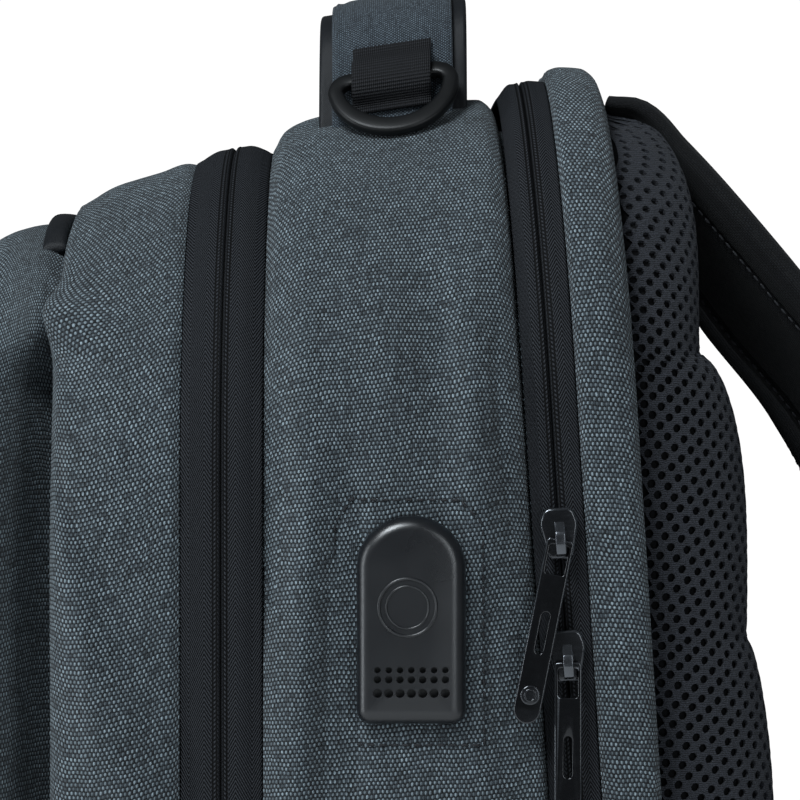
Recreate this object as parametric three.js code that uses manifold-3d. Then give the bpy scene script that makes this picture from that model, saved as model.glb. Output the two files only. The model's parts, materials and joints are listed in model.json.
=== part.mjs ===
// Travel backpack, in millimetres. +Z is up, the pocket side faces -Y, the shoulder straps face +Y,
// and the bag stands on the plane Z = 0 with its middle at X = 0.
import * as THREE from "three";
import { mergeVertices } from "three/addons/utils/BufferGeometryUtils.js";
import Module from "manifold-3d";

const wasm = await Module();
wasm.setup();

// Whole bag
const halfWidth = 160;
const bodyTop = 475;
const topRadius = 100;
const baseRadius = 38;
const belly = 3; // how far the sides swell out halfway up
const crown = 3; // how far the top swells up over its corners
const wall = 2.4;
const seamGap = 0.3; // between pieces that are sewn or pressed together
const leanSlope = 0.063; // the back moves away from the wearer's shoulders by this much for each mm down
const leanHeight = 447; // height at which the depths below are true

// Depths, front to back
const pocketFront = -124;
const frontWallFace = -88;
const frontCompartmentBack = -48.8;
const mainGussetFront = -24.4;
const mainGussetBack = 48.2;
const laptopZipperBack = 63.7;
const backFace = 81.5;

// Front pocket
const pocketHalfWidth = 138;
const pocketTop = 425;
const pocketTopRadius = 78;
const pocketBase = 14;
const pocketZipperDepth = 7.5;
const pocketZipperHalfLength = 96;
const pocketZipperRise = 4.4; // its top over the outline that its pocket follows

// Zips: each runs over the top and ends on both sides at this height, where plain cloth goes on
const zipperEndHeight = 105;
const zipperWall = 2;

// Back pad
const padHalfWidth = halfWidth - 13;
const padTop = bodyTop - 11;
const padBottom = 24;
const padTopRadius = 90;
const padLowerRadius = 128;
const padCentreTrough = 5; // how much thinner the pad is along its middle
const padCentreTroughHalfWidth = 26;
const padCreaseHeights = [padBottom, 126, 213, 300, 386, padTop];

// Grab handle
const handleDepthPosition = 14;
const handleHalfLength = halfWidth - topRadius + 27;
const handleRise = 35.5; // of its base's middle line over the top of the bag's main part
const handleHalfWidth = 23.6;
const handleCoverHalfWidth = 19.2;
const handleBaseThickness = 3.6;
const handleCoverThickness = 3.2;
const handleTilt = 0.15; // radians, the edge nearest the back is the higher one

// Ring on the handle
const ringTabHalfWidth = 12.5;
const ringTabThickness = 1.6;
const ringHalfWidth = 18.1; // to the middle of the bar's section
const ringReach = 21.6;
const ringSectionHalfWidth = 2.5;
const ringSectionHalfHeight = 1.9;
const ringTilt = 0.7; // radians outward from hanging straight down

// Port cover on the side
const coverHalfWidth = 16;
const coverHeight = 61;
const coverCentre = { y: 19.5, z: 309 };
const coverThickness = 7;
const coverCornerRadius = 2.5;
const coverEdgeRound = 2.2;

// Slider and pull of a zip
const sliderLength = 15;
const sliderHalfWidth = 5.6;
const sliderThickness = 3.4;
const bridgeHeight = 5.2;
const bridgeThickness = 1.5;
const bridgeHalfWidth = 1.5;
const bridgeTopEnd = 0.5;
const bridgeFoot = 4;
const bridgePlay = 1.3; // between the bridge and the sides of the pull's eye
const pullLength = 54;
const pullHalfWidth = 4;
const pullEyeHalfWidth = 4;
const pullThickness = 1.8;
const pullPlumbTurn = -0.063; // radians in the zip's plane, so that a pull hangs straight down
const pullAsideTurn = -0.262; // radians, the upper pull leans to the front, clear of the lower one
const pullRestLift = -0.06; // radians outward
const pullBossRadius = 2.9;
const pullSlotHalfWidth = 1.15;
const pullSlotLength = 10;

// Shoulder straps
const strapHalfWidth = 34;
const strapThickness = 13;
const strapReach = 103.5; // how far the middle line stands behind the back at most
const webbingHalfWidth = 12.5;
const webbingThickness = 1.6;
const adjusterHalfWidth = 16;
const adjusterThickness = 4;
const adjusterBar = 3.6;
const adjusterSlot = 6;

// One row is one station of a shell from its front edge (at 0) to its back edge (at 1): how far its
// sides and base stand in from the bag's half width, and how far its top lies under the bag's top.
const frontCompartmentRows = [
  { at: 0, inset: 12, drop: 50 },
  { at: 0.05, inset: 7.5, drop: 45 },
  { at: 0.16, inset: 4.6, drop: 43 },
  { at: 0.4, inset: 2, drop: 38.5 },
  { at: 0.7, inset: 1, drop: 34 },
  { at: 0.93, inset: 1.6, drop: 31 },
  { at: 1, inset: 3.4, drop: 31.5 },
];
const mainZipperRows = [
  { at: 0, inset: 4, drop: 30.5 },
  { at: 0.3, inset: 3, drop: 26.4 },
  { at: 0.5, inset: 3.4, drop: 25.8 },
  { at: 0.7, inset: 3, drop: 25 },
  { at: 1, inset: 5, drop: 27.5 },
];
const mainGussetRows = [
  { at: 0, inset: 5, drop: 27 },
  { at: 0.05, inset: 1.2, drop: 21 },
  { at: 0.16, inset: -0.8, drop: 17 },
  { at: 0.42, inset: -2, drop: 13 },
  { at: 0.7, inset: -2, drop: 10.5 },
  { at: 0.92, inset: -0.6, drop: 9.5 },
  { at: 0.98, inset: 2, drop: 13 },
  { at: 1, inset: 5, drop: 17 },
];
const laptopZipperRows = [
  { at: 0, inset: 4.8, drop: 10 },
  { at: 0.3, inset: 3.2, drop: 5.4 },
  { at: 0.5, inset: 3.6, drop: 5.2 },
  { at: 0.7, inset: 2.9, drop: 4.2 },
  { at: 1, inset: 3.2, drop: 4.4 },
];
const backPanelRows = [
  { at: 0, inset: 2.6, drop: 4 },
  { at: 0.08, inset: 0.6, drop: 1 },
  { at: 0.3, inset: -0.4, drop: 0 },
  { at: 0.65, inset: -0.3, drop: 0.4 },
  { at: 0.88, inset: 1, drop: 3 },
  { at: 1, inset: 5, drop: 9 },
];
const pocketRows = [
  { at: 0, inset: 15, drop: 19 },
  { at: 0.08, inset: 9, drop: 12.5 },
  { at: 0.22, inset: 4, drop: 7.5 },
  { at: 0.5, inset: 0.5, drop: 2.5 },
  { at: 0.82, inset: 0, drop: 0 },
  { at: 1, inset: 2.5, drop: 1.5 },
];

// How thick the back pad is at each crease and halfway between two creases, bottom to top
const padCreaseThickness = [12, 29, 30, 30, 21, 5];
const padCrestThickness = [33, 35, 36, 33, 24];

// Middle line of the right shoulder strap, from the top seam to its lower end, as shares: out of the
// bag's half width, behind of the strap's reach behind the back, up of the bag's top, and width and
// thick of the strap's own. Its outer edge stands away from the back by the twist, in radians.
const strapRows = [
  { out: 0.2938, behind: 0.029, up: 0.9758, width: 0.86, thick: 0.5, twist: 0.05 },
  { out: 0.3, behind: 0.1014, up: 0.9691, width: 0.88, thick: 0.7, twist: 0.1 },
  { out: 0.3125, behind: 0.1836, up: 0.94, width: 0.92, thick: 0.9, twist: 0.2 },
  { out: 0.3312, behind: 0.2947, up: 0.9042, width: 0.97, thick: 1, twist: 0.28 },
  { out: 0.3625, behind: 0.4831, up: 0.8495, width: 1, thick: 1, twist: 0.33 },
  { out: 0.4125, behind: 0.7246, up: 0.7832, width: 1, thick: 1, twist: 0.31 },
  { out: 0.4688, behind: 0.8841, up: 0.7116, width: 1, thick: 1, twist: 0.2 },
  { out: 0.525, behind: 0.9662, up: 0.6211, width: 0.97, thick: 1, twist: 0.12 },
  { out: 0.575, behind: 1, up: 0.5305, width: 0.93, thick: 1, twist: 0.06 },
  { out: 0.6188, behind: 0.971, up: 0.4442, width: 0.88, thick: 0.95, twist: 0.03 },
  { out: 0.6562, behind: 0.8937, up: 0.3663, width: 0.78, thick: 0.85, twist: 0 },
  { out: 0.6719, behind: 0.8502, up: 0.3368, width: 0.62, thick: 0.7, twist: 0 },
  { out: 0.6813, behind: 0.8213, up: 0.32, width: 0.47, thick: 0.62, twist: 0 },
];

// A number that goes smoothly from 0 to 1 as value goes from low to high
function smooth(value, low, high) {
  const share = Math.min(1, Math.max(0, (value - low) / (high - low)));
  return share * share * (3 - 2 * share);
}

// Depth after the lean of the bag's back
function leanedDepth(y, z) {
  const share = Math.min(1, Math.max(0, (y - mainGussetFront) / (mainGussetBack - mainGussetFront)));
  return y + share * leanSlope * (leanHeight - z);
}

// Right half of an upright rounded outline from the middle of its base to the middle of its top,
// as points with their outward directions
function halfOutline(width, top, cornerRadius, floor, lowerRadius) {
  const points = [];
  const baseRun = width - lowerRadius;
  const sideRun = top - cornerRadius - (floor + lowerRadius);
  for (const share of [0, 0.5]) {
    points.push({ x: share * baseRun, z: floor, outX: 0, outZ: -1 });
  }
  for (const share of [0, 0.25, 0.5, 0.75]) {
    const turn = (share * Math.PI) / 2;
    points.push({
      x: baseRun + lowerRadius * Math.sin(turn),
      z: floor + lowerRadius * (1 - Math.cos(turn)),
      outX: Math.sin(turn),
      outZ: -Math.cos(turn),
    });
  }
  for (const share of [0, 0.2, 0.4, 0.55, 0.7, 0.85]) {
    points.push({ x: width, z: floor + lowerRadius + share * sideRun, outX: 1, outZ: 0 });
  }
  for (const share of [0, 1 / 6, 2 / 6, 3 / 6, 4 / 6, 5 / 6]) {
    const turn = (share * Math.PI) / 2;
    points.push({
      x: width - cornerRadius + cornerRadius * Math.cos(turn),
      z: top - cornerRadius + cornerRadius * Math.sin(turn),
      outX: Math.cos(turn),
      outZ: Math.sin(turn),
    });
  }
  for (const share of [0, 1 / 3, 2 / 3, 1]) {
    points.push({ x: (1 - share) * (width - cornerRadius), z: top, outX: 0, outZ: 1 });
  }
  return points;
}

// The whole outline, right half then left half, swollen at the sides and the top
function outline(width, top, cornerRadius, floor, lowerRadius) {
  const right = halfOutline(width, top, cornerRadius, floor, lowerRadius);
  const left = right
    .slice(1, -1)
    .reverse()
    .map((p) => ({ ...p, x: -p.x, outX: -p.outX }));
  return [...right, ...left].map((p) => ({
    ...p,
    x: p.x + belly * (p.x / width) * Math.sin(Math.PI * smooth(p.z, floor, top)),
    z: p.z + crown * (1 - (p.x / width) ** 2) * smooth(p.z, 0.6 * top, top),
  }));
}

// A ring of points of the bag's body at one station; grow moves it outward, lowest is the least height
function bodyRing(depth, inset, drop, grow, lowest) {
  return outline(halfWidth - inset, bodyTop - drop, topRadius - inset, inset, baseRadius).map((p) => {
    const z = Math.max(lowest, p.z + grow * p.outZ);
    return new THREE.Vector3(p.x + grow * p.outX, leanedDepth(depth, z), z);
  });
}

function pocketRing(depth, inset, drop, grow) {
  const ring = outline(pocketHalfWidth - inset, pocketTop - drop, pocketTopRadius, pocketBase + inset, baseRadius);
  return ring.map((p) => new THREE.Vector3(p.x + grow * p.outX, depth, p.z + grow * p.outZ));
}

// One closed surface through rings of equally many points. ends is "join" where the last ring meets
// the first, "fan" where each end closes on its middle, and "strip" where a ring is two facing edges.
function skin(rings, ends) {
  const size = rings[0].length;
  const points = rings.flat();
  const faces = [];
  const quad = (a, b, c, d) => faces.push(a, b, c, a, c, d);
  const spans = ends === "join" ? rings.length : rings.length - 1;
  for (let r = 0; r < spans; r += 1) {
    const here = r * size;
    const next = ((r + 1) % rings.length) * size;
    for (let k = 0; k < size; k += 1) {
      const along = (k + 1) % size;
      quad(here + k, here + along, next + along, next + k);
    }
  }
  const last = (rings.length - 1) * size;
  if (ends === "fan") {
    for (const [start, turned] of [[0, true], [last, false]]) {
      const middle = new THREE.Vector3();
      points.slice(start, start + size).forEach((p) => middle.add(p));
      const tip = points.push(middle.divideScalar(size)) - 1;
      for (let k = 0; k < size; k += 1) {
        const along = (k + 1) % size;
        faces.push(...(turned ? [start + along, start + k, tip] : [start + k, start + along, tip]));
      }
    }
  }
  if (ends === "strip") {
    for (let k = 0; k < size / 2 - 1; k += 1) {
      quad(k, size - 1 - k, size - 2 - k, k + 1);
      quad(last + k, last + k + 1, last + size - 2 - k, last + size - 1 - k);
    }
  }
  return solidFromFaces(points, faces);
}

// A solid with its faces turned outward
function solidFromFaces(points, faces) {
  let volume = 0;
  for (let f = 0; f < faces.length; f += 3) {
    const [a, b, c] = [points[faces[f]], points[faces[f + 1]], points[faces[f + 2]]];
    volume += a.dot(new THREE.Vector3().crossVectors(b, c));
  }
  const turned = volume > 0 ? faces : [...faces].reverse();
  const geometry = new THREE.BufferGeometry();
  geometry.setAttribute("position", new THREE.Float32BufferAttribute(points.flatMap((p) => [p.x, p.y, p.z]), 3));
  geometry.setIndex(turned);
  return solidFromGeometry(geometry);
}

function solidFromGeometry(geometry) {
  const bare = geometry.clone();
  bare.deleteAttribute("normal");
  bare.deleteAttribute("uv");
  const merged = mergeVertices(bare, 1e-4);
  return new wasm.Manifold(
    new wasm.Mesh({
      numProp: 3,
      vertProperties: new Float32Array(merged.attributes.position.array),
      triVerts: new Uint32Array(merged.index.array),
    }),
  );
}

function geometryFromSolid(solid) {
  const mesh = solid.getMesh();
  const places = new Float32Array(mesh.numVert * 3);
  for (let v = 0; v < mesh.numVert; v += 1) {
    places.set(mesh.vertProperties.subarray(v * mesh.numProp, v * mesh.numProp + 3), v * 3);
  }
  const geometry = new THREE.BufferGeometry();
  geometry.setAttribute("position", new THREE.BufferAttribute(places, 3));
  geometry.setIndex(new THREE.BufferAttribute(new Uint32Array(mesh.triVerts), 1));
  geometry.computeVertexNormals();
  return geometry;
}

// Stations that are enough for a shell's inner face
function innerRows(rows) {
  return rows.filter((_, k) => k === 0 || k === rows.length - 1 || k % 3 === 2);
}

// Rings of a shell's outer or inner face, front to back
function shellRings(rows, front, back, grow, lowest) {
  return rows.map((row) => bodyRing(front + row.at * (back - front), row.inset, row.drop, grow, lowest));
}

// A sleeve of cloth that is open at its front and back
function sleeve(rows, front, back, thickness) {
  const outer = shellRings(rows, front, back, 0, 0);
  const inner = shellRings(innerRows(rows), front, back, -thickness, thickness);
  return skin([...outer, ...inner.reverse()], "join");
}

// The same sleeve filled and grown, to cut what is seated on it
function filledSleeve(rows, front, back, grow) {
  return skin(shellRings(rows, front, back, grow, -grow), "fan");
}

// Rings that close an open end with a gently domed wall, from the edge ring to near its middle
function wallRings(edge, dome) {
  const middle = new THREE.Vector3();
  edge.forEach((p) => middle.add(p));
  middle.divideScalar(edge.length);
  return [0.92, 0.6, 0.2].map((share) =>
    edge.map((p) => {
      const inward = new THREE.Vector3().lerpVectors(middle, p, share);
      inward.y += dome * (1 - share * share);
      return inward;
    }),
  );
}

// A tray: a sleeve with one end closed. outer and inner run from the closed end to the open rim.
function tray(outer, inner, dome) {
  return skin([...wallRings(outer[0], dome).reverse(), ...outer, ...inner.reverse(), ...wallRings(inner.at(-1), dome)], "fan");
}

// Pieces of a sleeve above and below the height where the zip ends
function keepAbove(solid, height) {
  return solid.trimByPlane([0, 0, 1], height + seamGap / 2);
}

function keepBelow(solid, height) {
  return solid.trimByPlane([0, 0, -1], -(height - seamGap / 2));
}

// A flat band along stations that each have a place, a direction across, half a width and a
// thickness. roundness lists columns across it, with the share of the thickness that each one has.
function ribbon(stations, roundness) {
  const rings = stations.map((station, index) => {
    const before = stations[Math.max(0, index - 1)].place;
    const after = stations[Math.min(stations.length - 1, index + 1)].place;
    const along = new THREE.Vector3().subVectors(after, before).normalize();
    const normal = new THREE.Vector3().crossVectors(along, station.across).normalize();
    const side = (up) =>
      roundness.map((column) =>
        station.place
          .clone()
          .addScaledVector(station.across, column.at * station.half)
          .addScaledVector(normal, (up * column.share * station.thick) / 2),
      );
    return [...side(1), ...side(-1).reverse()];
  });
  return skin(rings, "strip");
}

const flatColumns = [
  { at: -1, share: 1 },
  { at: 1, share: 1 },
];
const paddedColumns = [
  { at: -1, share: 0.3 },
  { at: -0.93, share: 0.62 },
  { at: -0.75, share: 0.92 },
  { at: 0, share: 1 },
  { at: 0.75, share: 0.92 },
  { at: 0.93, share: 0.62 },
  { at: 1, share: 0.3 },
];

// Body shells
const frontOuter = shellRings(frontCompartmentRows, frontWallFace, frontCompartmentBack, 0, 0);
const frontInner = shellRings(innerRows(frontCompartmentRows), frontWallFace + wall, frontCompartmentBack, -wall, wall);
const frontCompartment = tray(frontOuter, frontInner, 0);

const mainZipperFront = frontCompartmentBack + seamGap;
const mainZipperBack = mainGussetFront - seamGap;
const mainZipperSleeve = sleeve(mainZipperRows, mainZipperFront, mainZipperBack, zipperWall);
const mainZipper = keepAbove(mainZipperSleeve, zipperEndHeight);
const mainHingeGusset = keepBelow(mainZipperSleeve, zipperEndHeight);

const mainGusset = sleeve(mainGussetRows, mainGussetFront, mainGussetBack, wall);

const laptopZipperFront = mainGussetBack + seamGap;
const laptopZipperSleeve = sleeve(laptopZipperRows, laptopZipperFront, laptopZipperBack, zipperWall);
const laptopZipper = keepAbove(laptopZipperSleeve, zipperEndHeight);
const laptopHingeGusset = keepBelow(laptopZipperSleeve, zipperEndHeight);

const backPanelFront = laptopZipperBack + seamGap;
const backOuter = shellRings(backPanelRows, backPanelFront, backFace, 0, 0);
const backInner = shellRings(innerRows(backPanelRows), backPanelFront, backFace - wall, -wall, wall);
const backPanel = tray(backOuter.reverse(), backInner.reverse(), 0);

// Front pocket, with a cut for its zip along the top of its open rim
const pocketBack = frontWallFace - seamGap;
const pocketStation = (row, front, grow) =>
  pocketRing(front + row.at * (pocketBack - front), row.inset, row.drop, grow);
const pocketTray = tray(
  pocketRows.map((row) => pocketStation(row, pocketFront, 0)),
  innerRows(pocketRows).map((row) => pocketStation(row, pocketFront + wall, -wall)),
  -7,
);
// The arch of the pocket's zip between two depths and two growths of the pocket's outline
function pocketArch(front, back, low, high, halfLength) {
  const kept = pocketRing(front, 1, 1, 0).map((p) => p.z > pocketTop - 70 && Math.abs(p.x) < halfLength + 18);
  const ring = (depth, grow) => pocketRing(depth, 1, 1, grow).filter((_, k) => kept[k]);
  const corners = [ring(front, high), ring(back, high), ring(back, low), ring(front, low)];
  const sections = corners[0].map((_, k) => corners.map((corner) => corner[k]));
  const arch = skin(sections, "strip");
  return arch.trimByPlane([1, 0, 0], -halfLength).trimByPlane([-1, 0, 0], -halfLength);
}
const pocketZipperFront = pocketBack - pocketZipperDepth;
const pocketZipper = pocketArch(pocketZipperFront, pocketBack, -1.6, pocketZipperRise, pocketZipperHalfLength);
const pocketZipperRoom = pocketArch(pocketZipperFront - seamGap, pocketBack + 5, -30, 30, pocketZipperHalfLength + seamGap);
const frontPocket = pocketTray.subtract(pocketZipperRoom);

// Back pad: rows of cross-sections from the bottom to the top, lower at each crease
function padHalfWidthAt(z) {
  const cornerStart = padTop - padTopRadius;
  const above = Math.max(0, z - cornerStart) / padTopRadius;
  const lowRise = Math.max(0, padBottom + padLowerRadius - z) / padLowerRadius;
  const topCut = padTopRadius * (1 - Math.sqrt(Math.max(0, 1 - above * above)));
  const lowCut = padLowerRadius * (1 - Math.sqrt(Math.max(0, 1 - lowRise * lowRise)));
  return padHalfWidth - topCut - lowCut;
}

function padThicknessAt(x, z, thick) {
  const edge = Math.abs(x) / padHalfWidthAt(z);
  const rounded = Math.sqrt(Math.max(0, 1 - Math.max(0, (edge - 0.86) / 0.14) ** 2));
  const trough = padCentreTrough * (1 - smooth(Math.abs(x), 0, padCentreTroughHalfWidth));
  return Math.max(2.5, (thick - trough) * Math.max(rounded, 0.15));
}

function padSections() {
  const rows = [];
  for (let channel = 0; channel < padCrestThickness.length; channel += 1) {
    const low = padCreaseHeights[channel];
    const high = padCreaseHeights[channel + 1];
    for (const share of [0, 0.1, 0.3, 0.6, 0.88]) {
      const swell = Math.sin(Math.PI * share) ** 0.45;
      const crease = THREE.MathUtils.lerp(padCreaseThickness[channel], padCreaseThickness[channel + 1], share);
      rows.push({ z: THREE.MathUtils.lerp(low, high, share), thick: THREE.MathUtils.lerp(crease, padCrestThickness[channel], swell) });
    }
  }
  rows[0].z += 0.5;
  rows.push({ z: padTop - 1.5, thick: padCreaseThickness.at(-1) });
  return rows;
}

const padColumns = [-1, -0.97, -0.88, -0.6, -0.2, 0, 0.2, 0.6, 0.88, 0.97, 1];
const padRings = padSections().map(({ z, thick }) => {
  const half = padHalfWidthAt(z);
  const seat = backFace + seamGap;
  const face = padColumns.map((share) => {
    const x = share * half;
    return new THREE.Vector3(x, leanedDepth(seat, z) + padThicknessAt(x, z, thick), z);
  });
  const seatEdge = padColumns.map((share) => new THREE.Vector3(share * half, leanedDepth(seat, z), z)).reverse();
  return [...face, ...seatEdge];
});
const wholePad = skin(padRings, "strip");

// Shoulder straps; side is 1 for the wearer's right and -1 for the left
const strapAcross = new THREE.Vector3(1, 0, 0);
function strapPlace(row, side) {
  return new THREE.Vector3(side * row.out * halfWidth, backFace + row.behind * strapReach, row.up * bodyTop);
}

function strapStations(side, grow) {
  return strapRows.map((row, index) => {
    const before = strapPlace(strapRows[Math.max(0, index - 1)], side);
    const after = strapPlace(strapRows[Math.min(strapRows.length - 1, index + 1)], side);
    const away = new THREE.Vector3().subVectors(after, before).cross(strapAcross).normalize();
    if (away.y < 0) away.negate();
    const across = strapAcross.clone().multiplyScalar(Math.cos(row.twist));
    return {
      place: strapPlace(row, side),
      across: across.addScaledVector(away, side * Math.sin(row.twist)),
      half: strapHalfWidth * row.width + grow,
      thick: strapThickness * row.thick + 2 * grow,
    };
  });
}
const strapEnd = strapPlace(strapRows.at(-1), 1);
const strapRun = new THREE.Vector3().subVectors(strapEnd, strapPlace(strapRows.at(-3), 1)).normalize();

// Frame of the adjuster at a strap's end: its own x is across, its y down along the strap
function adjusterFrame(side) {
  const down = new THREE.Vector3(side * strapRun.x, strapRun.y, strapRun.z);
  const across = new THREE.Vector3(1, 0, 0).addScaledVector(down, -down.x).normalize();
  const normal = new THREE.Vector3().crossVectors(across, down);
  const frame = new THREE.Matrix4().makeBasis(across, down, normal);
  return frame.setPosition(side * strapEnd.x, strapEnd.y, strapEnd.z);
}

function flatShape(halfX, lowY, highY) {
  return new THREE.Shape([
    new THREE.Vector2(-halfX, lowY),
    new THREE.Vector2(halfX, lowY),
    new THREE.Vector2(halfX, highY),
    new THREE.Vector2(-halfX, highY),
  ]);
}

// A plain plate with windows, its own thickness centred on its plane
function plate(shape, holes, thickness) {
  shape.holes.push(...holes);
  const geometry = new THREE.ExtrudeGeometry(shape, { depth: thickness, bevelEnabled: false, curveSegments: 5 });
  return geometry.translate(0, 0, -thickness / 2);
}

const adjusterTopBarStart = -adjusterBar - 1;
const adjusterLowBarStart = adjusterTopBarStart + 2 * (adjusterBar + adjusterSlot);
const adjusterLowBarMiddle = adjusterLowBarStart + adjusterBar / 2;
function adjusterGeometry(side) {
  const windowHalf = adjusterHalfWidth - 2.6;
  const firstSlot = adjusterTopBarStart + adjusterBar;
  const secondSlot = firstSlot + adjusterSlot + adjusterBar;
  const shape = flatShape(adjusterHalfWidth, adjusterTopBarStart, adjusterLowBarStart + adjusterBar);
  const holes = [firstSlot, secondSlot].map((start) => flatShape(windowHalf, start, start + adjusterSlot));
  return plate(shape, holes, adjusterThickness).applyMatrix4(adjusterFrame(side));
}

// Room in the strap's end for the adjuster's top bar and for the starts of its two side bars
function adjusterRoom(side) {
  const gap = 0.5;
  const start = adjusterTopBarStart - gap;
  const barWidth = 2.6 + 2 * gap;
  const block = (shape) =>
    solidFromGeometry(plate(shape, [], adjusterThickness + 2 * gap).applyMatrix4(adjusterFrame(side)));
  const sideBar = (middle) =>
    new THREE.Shape(
      flatShape(barWidth / 2, start, 6)
        .getPoints()
        .map((p) => new THREE.Vector2(p.x + middle, p.y)),
    );
  const reach = adjusterHalfWidth - 1.3;
  return block(flatShape(adjusterHalfWidth + gap, start, adjusterTopBarStart + adjusterBar + gap))
    .add(block(sideBar(reach)))
    .add(block(sideBar(-reach)));
}
const straps = new Map();
for (const side of [1, -1]) {
  straps.set(side, ribbon(strapStations(side, 0), paddedColumns).subtract(adjusterRoom(side)));
}
const backPad = wholePad
  .subtract(ribbon(strapStations(1, 0.35), paddedColumns))
  .subtract(ribbon(strapStations(-1, 0.35), paddedColumns));

// Webbing: sewn to its anchor by the base, up to the adjuster, round its lowest bar, and a short tail
const anchorPlace = { out: halfWidth - 15, y: leanedDepth(backFace, 58) + 4, z: 58 };
function webbing(side, grow) {
  const frame = adjusterFrame(side);
  const inFrame = (down, out) => new THREE.Vector3(0, down, out).applyMatrix4(frame);
  const turn = Math.hypot(adjusterThickness, adjusterBar) / 2 + 0.4 + webbingThickness / 2;
  const places = [
    new THREE.Vector3(side * anchorPlace.out, anchorPlace.y + 12, anchorPlace.z + 8),
    new THREE.Vector3(side * (anchorPlace.out - 3), anchorPlace.y + 21, anchorPlace.z + 22),
    inFrame(adjusterLowBarMiddle + 52, -turn),
    inFrame(adjusterLowBarMiddle + 20, -turn),
  ];
  for (const share of [0, 0.2, 0.4, 0.6, 0.8, 1]) {
    const angle = Math.PI * share;
    places.push(inFrame(adjusterLowBarMiddle - turn * Math.sin(angle), -turn * Math.cos(angle)));
  }
  places.push(inFrame(adjusterLowBarMiddle + 20, turn + 1.5), inFrame(adjusterLowBarMiddle + 46, turn + 3));
  const across = new THREE.Vector3().setFromMatrixColumn(frame, 0);
  return ribbon(
    places.map((place) => ({ place, across, half: webbingHalfWidth + grow, thick: webbingThickness + 2 * grow })),
    flatColumns,
  );
}

// Anchor: a folded cloth tab that stands out of the back's lower corner
function anchorTab(side) {
  const { out, y, z } = anchorPlace;
  const tip = new THREE.Vector3(side * (out - 1.5), y + 19, z + 14);
  const root = new THREE.Vector3(side * (out + 4), y - 18, z - 8);
  const across = new THREE.Vector3(1, 0, side * 0.15).normalize();
  const stations = [0, 0.5, 1].map((share) => ({
    place: new THREE.Vector3().lerpVectors(root, tip, share).add(new THREE.Vector3(0, 1.2, -2.2)),
    across,
    half: THREE.MathUtils.lerp(15.5, 13.2, share),
    thick: 2.2,
  }));
  return ribbon(stations, flatColumns);
}

// Grab handle: its middle line runs left to right over the top of the main part. Each row has how far
// it stands in from the handle's end and which share of the full rise it has there.
const gussetTopAtHandle = bodyTop - 12;
const handleLine = [
  { inward: 0, rise: -0.03 },
  { inward: 2, rise: 0.125 },
  { inward: 6, rise: 0.4375 },
  { inward: 11, rise: 0.672 },
  { inward: 19, rise: 0.844 },
  { inward: 31, rise: 0.9375 },
  { inward: 57, rise: 0.984 },
  { inward: handleHalfLength, rise: 1 },
];
function handleStations(half, thick, lift) {
  const right = handleLine.map(
    (row) =>
      new THREE.Vector3(handleHalfLength - row.inward, handleDepthPosition, gussetTopAtHandle + row.rise * handleRise),
  );
  const left = right.slice(0, -1).reverse().map((p) => new THREE.Vector3(-p.x, p.y, p.z));
  const line = [...right, ...left];
  const across = new THREE.Vector3(0, Math.cos(handleTilt), Math.sin(handleTilt));
  return line.map((place, index) => {
    const before = line[Math.max(0, index - 1)];
    const after = line[Math.min(line.length - 1, index + 1)];
    const along = new THREE.Vector3().subVectors(after, before).normalize();
    const outward = new THREE.Vector3().crossVectors(across, along).normalize();
    if (outward.z < 0 || (Math.abs(outward.z) < 0.05 && outward.x * place.x < 0)) outward.negate();
    return { place: place.clone().addScaledVector(outward, lift), across, half, thick };
  });
}
const seatCut = filledSleeve(mainGussetRows, mainGussetFront, mainGussetBack, seamGap);
const handleCoverLift = (handleBaseThickness + handleCoverThickness) / 2 + seamGap;
const handleBase = ribbon(handleStations(handleHalfWidth, handleBaseThickness, 0), paddedColumns).subtract(seatCut);
const handleCover = ribbon(
  handleStations(handleCoverHalfWidth, handleCoverThickness, handleCoverLift),
  paddedColumns,
).subtract(seatCut);

// Ring frame: its own x runs along the ring's straight bar, its y down the outer face of the handle,
// its z out of that face
const ringFaceTop = new THREE.Vector3(handleHalfLength - 5, handleDepthPosition, gussetTopAtHandle + 12.5);
const ringFaceLow = new THREE.Vector3(handleHalfLength - 1.3, handleDepthPosition, gussetTopAtHandle + 2);
const faceDown = new THREE.Vector3().subVectors(ringFaceLow, ringFaceTop).normalize();
const faceAcross = new THREE.Vector3(0, Math.cos(handleTilt), Math.sin(handleTilt));
const faceOut = new THREE.Vector3().crossVectors(faceAcross, faceDown).normalize();
if (faceOut.x < 0) faceOut.negate();
const handleFaceLift = handleBaseThickness / 2 + seamGap + handleCoverThickness;
const barSweep = 0.84 * Math.hypot(ringSectionHalfWidth, ringSectionHalfHeight); // its corners are rounded
const ringPlay = 0.4;
const barLift = barSweep + ringPlay;
const ringBarPlace = new THREE.Vector3()
  .lerpVectors(ringFaceTop, ringFaceLow, 0.5)
  .addScaledVector(faceOut, handleFaceLift + barLift);

// The tab lies on the handle, goes over the bar, and lies on the handle again
function ringTab() {
  const over = barLift + barSweep + ringPlay + ringTabThickness / 2;
  const flat = seamGap + ringTabThickness / 2;
  const rows = [
    { down: -11.5, lift: flat },
    { down: -8, lift: flat + 0.4 },
    { down: -4.8, lift: over * 0.8 },
    { down: -2.2, lift: over },
    { down: 2.2, lift: over },
    { down: 4.8, lift: over * 0.8 },
    { down: 8, lift: flat + 0.4 },
    { down: 10.5, lift: flat },
  ];
  const face = new THREE.Vector3().lerpVectors(ringFaceTop, ringFaceLow, 0.5).addScaledVector(faceOut, handleFaceLift);
  return ribbon(
    rows.map((row) => ({
      place: face.clone().addScaledVector(faceDown, row.down).addScaledVector(faceOut, row.lift),
      across: faceAcross,
      half: ringTabHalfWidth,
      thick: ringTabThickness,
    })),
    flatColumns,
  );
}

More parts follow.
